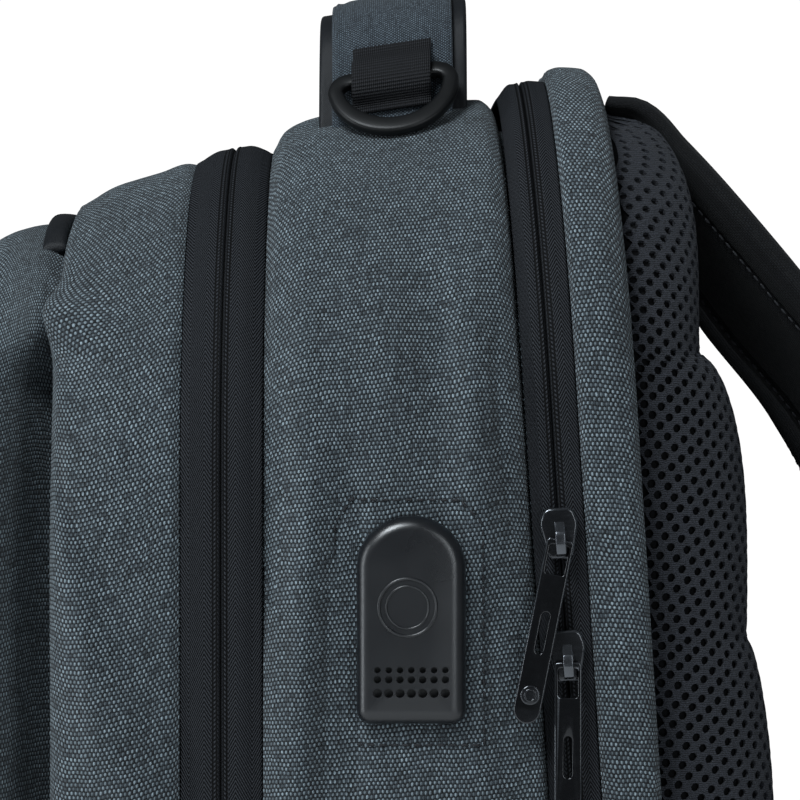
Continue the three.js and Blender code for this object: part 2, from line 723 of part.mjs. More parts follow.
// The D-shaped ring: a straight bar and a rounded bow that hangs down and stands a little out
function dRing() {
  const down = new THREE.Vector3(Math.sin(ringTilt), 0, -Math.cos(ringTilt));
  down.addScaledVector(faceAcross, -down.dot(faceAcross)).normalize();
  const normal = new THREE.Vector3().crossVectors(faceAcross, down).normalize();
  const corner = 5;
  const line = [];
  const add = (across, drop) => line.push({ across, drop });
  for (const share of [-0.66, -0.22, 0.22, 0.66]) add(share * (ringHalfWidth - corner), 0);
  for (const share of [0, 1 / 3, 2 / 3, 1]) {
    const turn = (share * Math.PI) / 2;
    add(ringHalfWidth - corner + corner * Math.sin(turn), corner * (1 - Math.cos(turn)));
  }
  const bowStart = ringReach - ringHalfWidth;
  for (let step = 1; step < 12; step += 1) {
    const turn = (step * Math.PI) / 12;
    add(ringHalfWidth * Math.cos(turn), bowStart + ringHalfWidth * Math.sin(turn));
  }
  for (const share of [1, 2 / 3, 1 / 3, 0]) {
    const turn = (share * Math.PI) / 2;
    add(-(ringHalfWidth - corner + corner * Math.sin(turn)), corner * (1 - Math.cos(turn)));
  }
  const places = line.map((p) =>
    ringBarPlace.clone().addScaledVector(faceAcross, p.across).addScaledVector(down, p.drop),
  );
  const section = [];
  for (let k = 0; k < 8; k += 1) {
    const turn = ((k + 0.5) * Math.PI) / 4;
    section.push({ side: Math.sign(Math.cos(turn)) * Math.abs(Math.cos(turn)) ** 0.6, up: Math.sign(Math.sin(turn)) * Math.abs(Math.sin(turn)) ** 0.6 });
  }
  const rings = places.map((place, index) => {
    const before = places[(index + places.length - 1) % places.length];
    const after = places[(index + 1) % places.length];
    const along = new THREE.Vector3().subVectors(after, before).normalize();
    const sideways = new THREE.Vector3().crossVectors(along, normal).normalize();
    return section.map((p) =>
      place
        .clone()
        .addScaledVector(sideways, p.side * ringSectionHalfWidth)
        .addScaledVector(normal, p.up * ringSectionHalfHeight),
    );
  });
  return skin(rings, "join");
}

// Port cover: an arched plate seated on the right side of the main part
function portCover() {
  const shape = new THREE.Shape();
  const half = coverHalfWidth - coverEdgeRound;
  const high = coverHeight - 2 * coverEdgeRound;
  const arch = half * 0.98;
  shape.moveTo(-half + coverCornerRadius, 0);
  shape.lineTo(half - coverCornerRadius, 0);
  shape.quadraticCurveTo(half, 0, half, coverCornerRadius);
  shape.lineTo(half, high - arch);
  shape.absellipse(0, high - arch, half, arch, 0, Math.PI, false, 0);
  shape.lineTo(-half, coverCornerRadius);
  shape.quadraticCurveTo(-half, 0, -half + coverCornerRadius, 0);
  const seatDepth = 8;
  const geometry = new THREE.ExtrudeGeometry(shape, {
    depth: coverThickness + seatDepth - coverEdgeRound,
    bevelThickness: coverEdgeRound,
    bevelSize: coverEdgeRound,
    bevelSegments: 3,
    curveSegments: 9,
  });
  geometry.translate(0, -high / 2, -seatDepth);
  const frame = new THREE.Matrix4().makeBasis(
    new THREE.Vector3(0, 1, 0),
    new THREE.Vector3(0, 0, 1),
    new THREE.Vector3(1, 0, 0),
  );
  frame.setPosition(halfWidth + 3.5, coverCentre.y, coverCentre.z);
  return solidFromGeometry(geometry.applyMatrix4(frame)).subtract(seatCut);
}

// A zip's slider and its pull, in a frame whose x runs across the tape, y up along it and z out of it
function sliderSolid(frame, seat) {
  const body = new THREE.Shape();
  const half = sliderLength / 2;
  body.moveTo(-sliderHalfWidth * 0.62, -half);
  body.lineTo(sliderHalfWidth * 0.62, -half);
  body.lineTo(sliderHalfWidth, half * 0.35);
  body.lineTo(sliderHalfWidth * 0.8, half);
  body.lineTo(-sliderHalfWidth * 0.8, half);
  body.lineTo(-sliderHalfWidth, half * 0.35);
  body.closePath();
  const base = new THREE.ExtrudeGeometry(body, { depth: sliderThickness + 4, bevelEnabled: false }).translate(0, 0, -4);
  const bridge = new THREE.Shape();
  bridge.moveTo(-half + 1, -1);
  bridge.lineTo(-half + 1, bridgeHeight * 0.55);
  bridge.lineTo(-half + 4, bridgeHeight);
  bridge.lineTo(bridgeTopEnd, bridgeHeight);
  bridge.lineTo(bridgeFoot, -1);
  bridge.lineTo(bridgeFoot - bridgeThickness * 1.4, -1);
  bridge.lineTo(bridgeTopEnd - 0.6, bridgeHeight - bridgeThickness);
  bridge.lineTo(-half + 4.6, bridgeHeight - bridgeThickness);
  bridge.lineTo(-half + 1 + bridgeThickness * 1.2, bridgeHeight * 0.4);
  bridge.lineTo(-half + 1 + bridgeThickness * 1.2, -1);
  bridge.closePath();
  const arch = new THREE.ExtrudeGeometry(bridge, { depth: 2 * bridgeHalfWidth, bevelEnabled: false });
  arch.translate(0, 0, -bridgeHalfWidth);
  const turn = new THREE.Matrix4().makeBasis(
    new THREE.Vector3(0, 1, 0),
    new THREE.Vector3(0, 0, 1),
    new THREE.Vector3(1, 0, 0),
  );
  arch.applyMatrix4(turn).translate(0, 0, sliderThickness);
  const whole = solidFromGeometry(base.applyMatrix4(frame)).add(solidFromGeometry(arch.applyMatrix4(frame)));
  return whole.subtract(seat);
}

// Height of the pull's crossbar over the tape, and its place along the slider
const pullAxisUp = sliderThickness + (bridgeHeight - bridgeThickness) / 2;
const pullAxisAlong = -sliderLength / 2 + 5;

function pullSolid(frame, turn, lift) {
  const eyeHalf = pullThickness / 2;
  const shape = new THREE.Shape();
  const topEdge = eyeHalf;
  shape.moveTo(-pullEyeHalfWidth, topEdge);
  shape.lineTo(-pullHalfWidth, -14);
  shape.lineTo(-pullHalfWidth, -pullLength + 5);
  shape.quadraticCurveTo(-pullHalfWidth * 0.9, -pullLength, 0, -pullLength);
  shape.quadraticCurveTo(pullHalfWidth * 0.9, -pullLength, pullHalfWidth, -pullLength + 5);
  shape.lineTo(pullHalfWidth, -14);
  shape.lineTo(pullEyeHalfWidth, topEdge);
  shape.closePath();
  const eye = flatShape(bridgeHalfWidth + bridgePlay, -9.5, -eyeHalf);
  const slot = new THREE.Path();
  const slotTop = -22;
  slot.moveTo(-pullSlotHalfWidth, slotTop);
  slot.lineTo(-pullSlotHalfWidth, slotTop - pullSlotLength);
  slot.absarc(0, slotTop - pullSlotLength, pullSlotHalfWidth, Math.PI, 2 * Math.PI, false);
  slot.lineTo(pullSlotHalfWidth, slotTop);
  slot.absarc(0, slotTop, pullSlotHalfWidth, 0, Math.PI, false);
  const body = plate(shape, [eye, slot], pullThickness);
  const boss = new THREE.CylinderGeometry(pullBossRadius, pullBossRadius, pullThickness + 0.9, 14);
  boss.rotateX(Math.PI / 2).translate(0, -pullLength + 8.5, 0);
  const place = frame
    .clone()
    .multiply(new THREE.Matrix4().makeTranslation(0, pullAxisAlong, pullAxisUp))
    .multiply(new THREE.Matrix4().makeRotationZ(turn))
    .multiply(new THREE.Matrix4().makeRotationX(lift));
  return solidFromGeometry(body.applyMatrix4(place)).add(solidFromGeometry(boss.applyMatrix4(place)));
}

// Frame on a zip's outer face at a height on one side of the bag
function sideFrame(side, depth, inset, z) {
  const slope = (leanedDepth(depth, z - 1) - leanedDepth(depth, z + 1)) / 2;
  const up = new THREE.Vector3(0, -slope, 1).normalize();
  const out = new THREE.Vector3(side, 0, 0);
  const across = new THREE.Vector3().crossVectors(up, out);
  const swollen = halfWidth - inset + belly * Math.sin(Math.PI * smooth(z, inset, bodyTop));
  const frame = new THREE.Matrix4().makeBasis(across, up, out);
  return frame.setPosition(side * (swollen + seamGap), leanedDepth(depth, z), z);
}

const laptopSeat = filledSleeve(laptopZipperRows, laptopZipperFront, laptopZipperBack, seamGap);
const mainSeat = filledSleeve(mainZipperRows, mainZipperFront, mainZipperBack, seamGap);
const laptopZipperMiddle = (laptopZipperFront + laptopZipperBack) / 2;
const mainZipperMiddle = (mainZipperFront + mainZipperBack) / 2;
const upperSliderHeight = 334;
const sliderSpacing = 36;
const mainUpperSliderHeight = 300;
function sliderPair(prefix, side, middle, inset, seat, height, lowerTurn) {
  const upper = sideFrame(side, middle, inset, height);
  const lower = sideFrame(side, middle, inset, height - sliderSpacing);
  return [
    { name: prefix + "_upper", frame: upper, seat, turn: pullAsideTurn, lift: pullRestLift },
    { name: prefix + "_lower", frame: lower, seat, turn: lowerTurn, lift: 0 },
  ];
}
const sliders = [
  ...sliderPair("laptop_zipper", 1, laptopZipperMiddle, 3, laptopSeat, upperSliderHeight, pullPlumbTurn),
  ...sliderPair("main_zipper", -1, mainZipperMiddle, 2.8, mainSeat, mainUpperSliderHeight, 0),
];

const backSeat = filledSleeve(backPanelRows, backPanelFront, backFace, seamGap);

// Colours
const looks = {
  cloth: { color: 0x4a5156, roughness: 0.95, metalness: 0 },
  zipper: { color: 0x1f2023, roughness: 0.8, metalness: 0 },
  mesh: { color: 0x26282b, roughness: 0.95, metalness: 0 },
  strap: { color: 0x1b1d20, roughness: 0.9, metalness: 0 },
  webbing: { color: 0x17181a, roughness: 0.9, metalness: 0 },
  plastic: { color: 0x1b1c1e, roughness: 0.45, metalness: 0 },
  rubber: { color: 0x26272b, roughness: 0.6, metalness: 0 },
  metal: { color: 0x141517, roughness: 0.25, metalness: 0.8 },
};

const bag = new THREE.Group();
bag.name = "travel_backpack";
function addPiece(name, solid, look) {
  const mesh = new THREE.Mesh(geometryFromSolid(solid), new THREE.MeshStandardMaterial(looks[look]));
  mesh.name = name;
  bag.add(mesh);
}

addPiece("front_pocket", frontPocket, "cloth");
addPiece("front_pocket_zipper", pocketZipper, "zipper");
addPiece("front_compartment", frontCompartment, "cloth");
addPiece("main_zipper", mainZipper, "zipper");
addPiece("main_hinge_gusset", mainHingeGusset, "cloth");
addPiece("main_gusset", mainGusset, "cloth");
addPiece("laptop_zipper", laptopZipper, "zipper");
addPiece("laptop_hinge_gusset", laptopHingeGusset, "cloth");
addPiece("back_panel", backPanel, "cloth");
addPiece("back_pad", backPad, "mesh");
addPiece("grab_handle_base", handleBase, "strap");
addPiece("grab_handle_cover", handleCover, "cloth");
addPiece("ring_tab", ringTab(), "webbing");
addPiece("d_ring", dRing(), "plastic");
addPiece("port_cover", portCover(), "rubber");
for (const { name, frame, seat, turn, lift } of sliders) {
  addPiece(name + "_slider", sliderSolid(frame, seat), "metal");
  addPiece(name + "_pull", pullSolid(frame, turn, lift), "metal");
}
for (const [side, word] of [[1, "right"], [-1, "left"]]) {
  addPiece("shoulder_strap_" + word, straps.get(side), "strap");
  addPiece("strap_adjuster_" + word, solidFromGeometry(adjusterGeometry(side)), "plastic");
  addPiece("strap_webbing_" + word, webbing(side, 0), "webbing");
  addPiece("strap_anchor_" + word, anchorTab(side).subtract(backSeat).subtract(webbing(side, seamGap)), "webbing");
}

export default bag;
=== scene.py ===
import json
import math

import bmesh
import bpy
import numpy as np
from bpy.props import FloatProperty, FloatVectorProperty, PointerProperty
from mathutils import Matrix, Vector

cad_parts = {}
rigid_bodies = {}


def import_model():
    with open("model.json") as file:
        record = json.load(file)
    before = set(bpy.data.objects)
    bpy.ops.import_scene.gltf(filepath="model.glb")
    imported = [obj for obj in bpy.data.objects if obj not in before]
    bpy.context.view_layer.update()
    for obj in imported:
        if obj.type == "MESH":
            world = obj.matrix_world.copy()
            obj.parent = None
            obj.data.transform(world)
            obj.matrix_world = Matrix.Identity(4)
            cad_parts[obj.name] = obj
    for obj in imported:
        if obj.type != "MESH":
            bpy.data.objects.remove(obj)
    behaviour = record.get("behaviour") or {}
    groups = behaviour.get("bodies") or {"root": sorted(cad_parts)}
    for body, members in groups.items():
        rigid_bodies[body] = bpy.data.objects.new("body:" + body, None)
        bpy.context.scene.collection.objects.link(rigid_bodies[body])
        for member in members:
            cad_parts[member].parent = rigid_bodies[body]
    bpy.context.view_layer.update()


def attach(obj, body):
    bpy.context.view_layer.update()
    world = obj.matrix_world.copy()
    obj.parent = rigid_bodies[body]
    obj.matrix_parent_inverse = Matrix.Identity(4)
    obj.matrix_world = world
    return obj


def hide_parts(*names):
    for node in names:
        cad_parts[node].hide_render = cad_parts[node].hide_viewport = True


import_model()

bl_info = {
    "name": "Travel backpack",
    "version": (1, 0, 0),
    "blender": (4, 5, 0),
    "location": "3D View > Sidebar > Backpack",
    "description": "Makes the travel backpack piece by piece on its packed frame",
    "category": "Add Mesh",
}

MM = 0.001

# Whole bag, in millimetres
HALF_WIDTH = 160
BODY_TOP = 475
TOP_RADIUS = 100
BASE_RADIUS = 38
BELLY = 3
CROWN = 3
WALL = 2.4
SEAM_GAP = 0.3
LEAN_SLOPE = 0.063
LEAN_HEIGHT = 447

# Depths, front to back
POCKET_FRONT = -124
FRONT_WALL_FACE = -88
FRONT_COMPARTMENT_BACK = -48.8
MAIN_GUSSET_FRONT = -24.4
MAIN_GUSSET_BACK = 48.2
LAPTOP_ZIPPER_BACK = 63.7
BACK_FACE = 81.5

# Front pocket
POCKET_HALF_WIDTH = 138
POCKET_TOP = 425
POCKET_TOP_RADIUS = 78
POCKET_BASE = 14
POCKET_ZIPPER_DEPTH = 7.5
POCKET_ZIPPER_HALF_LENGTH = 96
POCKET_ZIPPER_RISE = 4.4

ZIPPER_END_HEIGHT = 105
ZIPPER_WALL = 2

# The bindings that cover the seams' gaps from within
BINDING_HALF_WIDTH = 2.5
BINDING_DEPTH = 0.9
BINDING_THICKNESS = 0.7

# One row is one station of a shell from its front edge to its back edge: share of the way, how far
# the sides stand in from the bag's half width, and how far the top lies under the bag's top.
FRONT_COMPARTMENT_ROWS = (
    (0, 12, 50), (0.05, 7.5, 45), (0.16, 4.6, 43), (0.4, 2, 38.5),
    (0.7, 1, 34), (0.93, 1.6, 31), (1, 3.4, 31.5),
)
MAIN_ZIPPER_ROWS = ((0, 4, 30.5), (0.3, 3, 26.4), (0.5, 3.4, 25.8), (0.7, 3, 25), (1, 5, 27.5))
MAIN_GUSSET_ROWS = (
    (0, 5, 27), (0.05, 1.2, 21), (0.16, -0.8, 17), (0.42, -2, 13),
    (0.7, -2, 10.5), (0.92, -0.6, 9.5), (0.98, 2, 13), (1, 5, 17),
)
LAPTOP_ZIPPER_ROWS = ((0, 4.8, 10), (0.3, 3.2, 5.4), (0.5, 3.6, 5.2), (0.7, 2.9, 4.2), (1, 3.2, 4.4))
BACK_PANEL_ROWS = ((0, 2.6, 4), (0.08, 0.6, 1), (0.3, -0.4, 0), (0.65, -0.3, 0.4), (0.88, 1, 3), (1, 5, 9))
POCKET_ROWS = ((0, 15, 19), (0.08, 9, 12.5), (0.22, 4, 7.5), (0.5, 0.5, 2.5), (0.82, 0, 0), (1, 2.5, 1.5))

# Folds and dents of the cloth on the wearer's right side: where the fold starts and ends as depth and
# height, how wide it is, and how far it stands out before the strength (negative is pressed in). The
# left side has the same ones, lower by one drop.
FOLD_STRENGTH = 2.1
LEFT_FOLD_DROP = 23
SIDE_FOLDS = (
    (47, 404, 55, 322, 6, -3.6),
    (36, 404, 40, 326, 7, 2.0),
    (-20, 424, -21, 290, 5, -1.8),
    (-10, 350, -14, 232, 7, 2.0),
    (1, 356, -4, 236, 7, -2.6),
    (46, 318, 52, 250, 6, -2.6),
    (8, 412, 20, 366, 8, 1.1),
    (4, 457, 30, 453, 8, -1.7),
    (22, 420, 30, 372, 7, -1.6),
    (-93, 403, -72, 396, 5, 2.2),
    (-90, 390, -70, 378, 4.5, -2.4),
    (-86, 372, -64, 352, 8, 1.5),
    (-83, 380, -76, 326, 9, -2.2),
    (-84, 345, -72, 262, 7, 2.0),
    (-62, 410, -66, 300, 16, -1.5),
    (-70, 300, -60, 230, 9, 1.4),
    (-12, 414, -14, 372, 8, 0.7),
    (76, 430, 78, 380, 5, 1.0),
    (72, 350, 77, 290, 4, -1.0),
    (30, 150, 10, 90, 14, -1.6),
    (-60, 180, -74, 120, 12, -1.5),
)


def smooth(value, low, high):
    """A number that goes smoothly from 0 to 1 as value goes from low to high."""
    share = np.clip((np.asarray(value, float) - low) / (high - low), 0, 1)
    return share * share * (3 - 2 * share)


def leaned_depth(y, z):
    """Depth after the lean of the bag's back."""
    share = np.clip((y - MAIN_GUSSET_FRONT) / (MAIN_GUSSET_BACK - MAIN_GUSSET_FRONT), 0, 1)
    return y + share * LEAN_SLOPE * (LEAN_HEIGHT - z)


def through_rows(rows, column, shares):
    """Value of one column of a table along its first column, on a smooth line without overshoot."""
    at = np.array([row[0] for row in rows], float)
    value = np.array([row[column] for row in rows], float)
    step = np.diff(at)
    slope = np.diff(value) / step
    both = slope[:-1] * slope[1:]
    inner = np.where(both > 0, 2 * both / (slope[:-1] + slope[1:] + 1e-12), 0)
    tangent = np.concatenate([[slope[0]], inner, [slope[-1]]])
    shares = np.asarray(shares, float)
    k = np.clip(np.searchsorted(at, shares, side="right") - 1, 0, len(step) - 1)
    t = (shares - at[k]) / step[k]
    return (
        value[k] * (2 * t**3 - 3 * t**2 + 1)
        + value[k + 1] * (3 * t**2 - 2 * t**3)
        + step[k] * (tangent[k] * (t**3 - 2 * t**2 + t) + tangent[k + 1] * (t**3 - t**2))
    )


def half_outline(width, top, corner, floor, lower, fine):
    """Right half of an upright rounded outline, with outward directions; fine is points per run."""
    base_n, low_n, side_n, high_n, top_n = fine
    base_run = width - lower
    side_run = top - corner - (floor + lower)
    runs = []

    def add(x, z, out_x, out_z):
        runs.append(np.stack(np.broadcast_arrays(x, z, out_x, out_z)))

    share = np.arange(base_n) / base_n
    add(share * base_run, floor, 0.0, -1.0)
    turn = np.arange(low_n) / low_n * math.pi / 2
    add(base_run + lower * np.sin(turn), floor + lower * (1 - np.cos(turn)), np.sin(turn), -np.cos(turn))
    share = np.arange(side_n) / side_n
    add(width, floor + lower + share * side_run, 1.0, 0.0)
    turn = np.arange(high_n) / high_n * math.pi / 2
    x, z = width - corner + corner * np.cos(turn), top - corner + corner * np.sin(turn)
    add(x, z, np.cos(turn), np.sin(turn))
    share = np.arange(top_n + 1) / top_n
    add((1 - share) * (width - corner), top, 0.0, 1.0)
    return np.concatenate(runs, axis=1)


def outline(width, top, corner, floor, lower, fine):
    """The whole outline, right half then left half, swollen at the sides and the top."""
    right = half_outline(width, top, corner, floor, lower, fine)
    left = right[:, -2:0:-1] * np.array([[-1], [1], [-1], [1]])
    x, z, out_x, out_z = np.concatenate([right, left], axis=1)
    swollen_x = x + BELLY * (x / width) * np.sin(math.pi * smooth(z, floor, top))
    swollen_z = z + CROWN * (1 - (x / width) ** 2) * smooth(z, 0.6 * top, top)
    return swollen_x, swollen_z, out_x, out_z


# Points of an outline's runs: base, lower corner, side, upper corner, top
FINE = (34, 12, 96, 44, 22)


def body_ring(depth, inset, drop, fine, grow=0.0, lowest=0.0):
    """A ring of the bag's body at one station, as points and outward directions."""
    x, z, out_x, out_z = outline(
        HALF_WIDTH - inset, BODY_TOP - drop, TOP_RADIUS - inset, inset, BASE_RADIUS, fine
    )
    height = np.maximum(lowest, z + grow * out_z)
    points = np.stack([x + grow * out_x, leaned_depth(depth, height), height], axis=1)
    return points, np.stack([out_x, np.zeros_like(out_x), out_z], axis=1)


def pocket_ring(depth, inset, drop, fine, grow=0.0, lowest=0.0):
    """A ring of the front pocket at one station. It hangs clear of the ground, so lowest isn't needed."""
    x, z, out_x, out_z = outline(
        POCKET_HALF_WIDTH - inset, POCKET_TOP - drop, POCKET_TOP_RADIUS,
        POCKET_BASE + inset, BASE_RADIUS, fine,
    )
    points = np.stack([x + grow * out_x, np.full_like(x, depth), z + grow * out_z], axis=1)
    return points, np.stack([out_x, np.zeros_like(out_x), out_z], axis=1)


def wander(points, wavelength, seed):
    """Smooth repeatable unevenness between about -1 and 1 at each point, for waves of about one length."""
    chance = np.random.default_rng(seed)
    total = np.zeros(len(points))
    for _ in range(9):
        direction = chance.normal(size=3)
        direction /= np.linalg.norm(direction)
        pace = 2 * math.pi / (wavelength * chance.uniform(0.7, 1.6))
        total += np.sin(points @ direction * pace + chance.uniform(0, 2 * math.pi))
    return total / 4.2


def fold_relief(points, sideways):
    """How far the folds of the sides move each point outward, in millimetres."""
    moved = np.zeros(len(points))
    for y0, z0, y1, z1, width, depth in SIDE_FOLDS:
        for side in (1, -1):
            shift = 0 if side > 0 else LEFT_FOLD_DROP
            start = np.array([y0, z0 - shift])
            run = np.array([y1, z1 - shift]) - start
            here = points[:, 1:] - start
            share = np.clip(here @ run / (run @ run), 0, 1)
            away = np.linalg.norm(here - share[:, None] * run, axis=1)
            taper = np.sin(math.pi * np.clip(share, 0.04, 0.96)) ** 0.5
            near = (points[:, 0] * side > 0) * sideways
            moved += near * depth * taper * np.exp(-((away / width) ** 2))
    return FOLD_STRENGTH * moved


def signed_volume(points, faces):
    """Six times the volume inside faces of three or four corners; negative when they face inward."""
    first = [face[:3] for face in faces]
    second = [(face[0], face[2], face[-1]) for face in faces if len(face) > 3]
    triangles = np.array(first + second)
    a, b, c = (points[triangles[:, k]] for k in range(3))
    return float(np.einsum("ij,ij->i", a, np.cross(b, c)).sum())


def linked(name, data):
    """A new object in the scene for a mesh, a curve, a lamp or a camera."""
    made = bpy.data.objects.new(name, data)
    bpy.context.scene.collection.objects.link(made)
    return made


def evaluated_mesh(piece):
    """The mesh that an object shows, with its modifier or its curve's fill worked out."""
    return bpy.data.meshes.new_from_object(piece.evaluated_get(bpy.context.evaluated_depsgraph_get()))


def mesh_object(name, points, faces, material, uvs=None, smooth_shaded=True):
    """An object in metres from points in millimetres, faces turned outward. uvs is one pair per corner."""
    turned = signed_volume(points, faces) < 0
    if turned:
        faces = [tuple(reversed(face)) for face in faces]
    mesh = bpy.data.meshes.new(name)
    mesh.from_pydata((points * MM).tolist(), [], faces)
    if uvs is not None:
        flat = [pair for corners in uvs for pair in (reversed(corners) if turned else corners)]
        layer = mesh.uv_layers.new(name="cloth")
        layer.data.foreach_set("uv", np.array(flat, float).ravel())
    mesh.polygons.foreach_set("use_smooth", [smooth_shaded] * len(mesh.polygons))
    mesh.materials.append(material)
    mesh.validate()
    return linked(name, mesh)


def ring_faces(count, size, join_ends, wrap=True):
    """Faces between rings of points, and each face's corners as (ring, place along it)."""
    faces = []
    corners = []
    spans = count if join_ends else count - 1
    around = size if wrap else size - 1
    for r in range(spans):
        here, there = r * size, (r + 1) % count * size
        for k in range(around):
            n = (k + 1) % size
            faces.append((here + k, here + n, there + n, there + k))
            corners.append(((r, k), (r, k + 1), (r + 1, k + 1), (r + 1, k)))
    return faces, corners


def lengths_along(points, closed):
    """Distance of each point from the first one along a line of points; closed adds the way back."""
    line = np.concatenate([points, points[:1]]) if closed else points
    steps = np.linalg.norm(np.diff(line, axis=0), axis=1)
    return np.concatenate([[0], np.cumsum(steps)])


def end_fans(points, rings):
    """Points with the middles of the first and the last ring added, and the faces that close both."""
    size = len(rings[0])
    fans = []
    for ring_index in (0, len(rings) - 1):
        tip = len(points)
        points = np.concatenate([points, rings[ring_index].mean(axis=0)[None]])
        start = ring_index * size
        for k in range(size):
            n = (k + 1) % size
            fans.append((start + k, start + n, tip) if ring_index else (start + n, start + k, tip))
    return points, fans


def shell_object(name, rings, material, flat_rings=(0, 0)):
    """A closed shell through rings, from a tip inside the first ring to a tip inside the last one.

    Cloth coordinates are in metres, along the ring and across it. The rings between the two numbers
    of flat_rings lie in an end wall, so theirs are the width and the height instead.
    """
    count, size = len(rings), len(rings[0])
    points = np.concatenate(rings)
    faces, corners = ring_faces(count, size, False)
    along = lengths_along(rings[max(count // 4, flat_rings[1])], True) * MM
    across = lengths_along(np.array([ring[size // 4] for ring in rings]), False) * MM
    uvs = []
    for face, places in zip(faces, corners):
        if flat_rings[0] <= places[0][0] and places[-1][0] <= flat_rings[1]:
            uvs.append([(points[v][0] * MM, points[v][2] * MM) for v in face])
        else:
            uvs.append([(along[k], across[r]) for r, k in places])
    points, fans = end_fans(points, rings)
    uvs += [[(points[v][0] * MM, points[v][2] * MM) for v in face] for face in fans]
    return mesh_object(name, points, faces + fans, material, uvs)


def loop_object(name, rings, material):
    """A closed shell through rings that come back to the first one, such as a band's face and inside."""
    count, size = len(rings), len(rings[0])
    faces, corners = ring_faces(count, size, True)
    along = lengths_along(rings[count // 3], True) * MM
    across = lengths_along(np.array([ring[size // 4] for ring in rings]), True) * MM
    uvs = [[(along[k], across[r]) for r, k in places] for places in corners]
    return mesh_object(name, np.concatenate(rings), faces, material, uvs)


def cloth_rings(ring_of, rows, front, back, shares, fine, relief, lowest=0.0, grow=0.0):
    """Rings of a shell's face at shares of the way from front to back, moved by a relief function."""
    insets = through_rows(rows, 1, shares)
    drops = through_rows(rows, 2, shares)
    rings = []
    for share, inset, drop in zip(shares, insets, drops):
        points, out = ring_of(front + share * (back - front), inset, drop, fine, grow, lowest)
        if relief is not None:
            points = points + out * relief(points, out, share)[:, None]
            points[:, 2] = np.maximum(points[:, 2], lowest)
        rings.append(points)
    return rings


def even_shares(count, edge_power=1.0):
    """Shares from 0 to 1, closer together at both ends for a power over 1."""
    t = np.linspace(-1, 1, count)
    return 0.5 + 0.5 * np.sign(t) * (1 - (1 - np.abs(t)) ** edge_power)


def cloth_relief(seed, pucker=0.22, uneven=0.55):
    """Relief of a cloth band: folds of the side, slow unevenness, and small puckers beside its seams."""

    def relief(points, out, share):
        sideways = np.abs(out[:, 0]) ** 2
        edge = math.exp(-((min(share, 1 - share) / 0.16) ** 2))
        over_top = np.abs(out[:, 2]) > 0.7
        line = points @ np.array([0.3, 0.0, 1.0]) + points @ np.array([1.0, 0.0, 0.0]) * over_top
        ripple = np.sin(line * 2 * math.pi / 7.5 + 2.2 * wander(points, 34, seed + 5))
        return (
            fold_relief(points, sideways)
            + uneven * wander(points, 46, seed)
            + 0.35 * uneven * wander(points, 17, seed + 1)
            + pucker * edge * ripple
        )

    return relief


def domed_wall(edge, dome, shares, seed):
    """Rings that close an open end with a gently domed wall, from the edge to near its middle."""
    middle = edge.mean(axis=0)
    rings = []
    for share in shares:
        ring = middle + (edge - middle) * share
        ring[:, 1] += dome * (1 - share * share) + 0.6 * (1 - share) * wander(ring, 80, seed)
        rings.append(ring)
    return rings


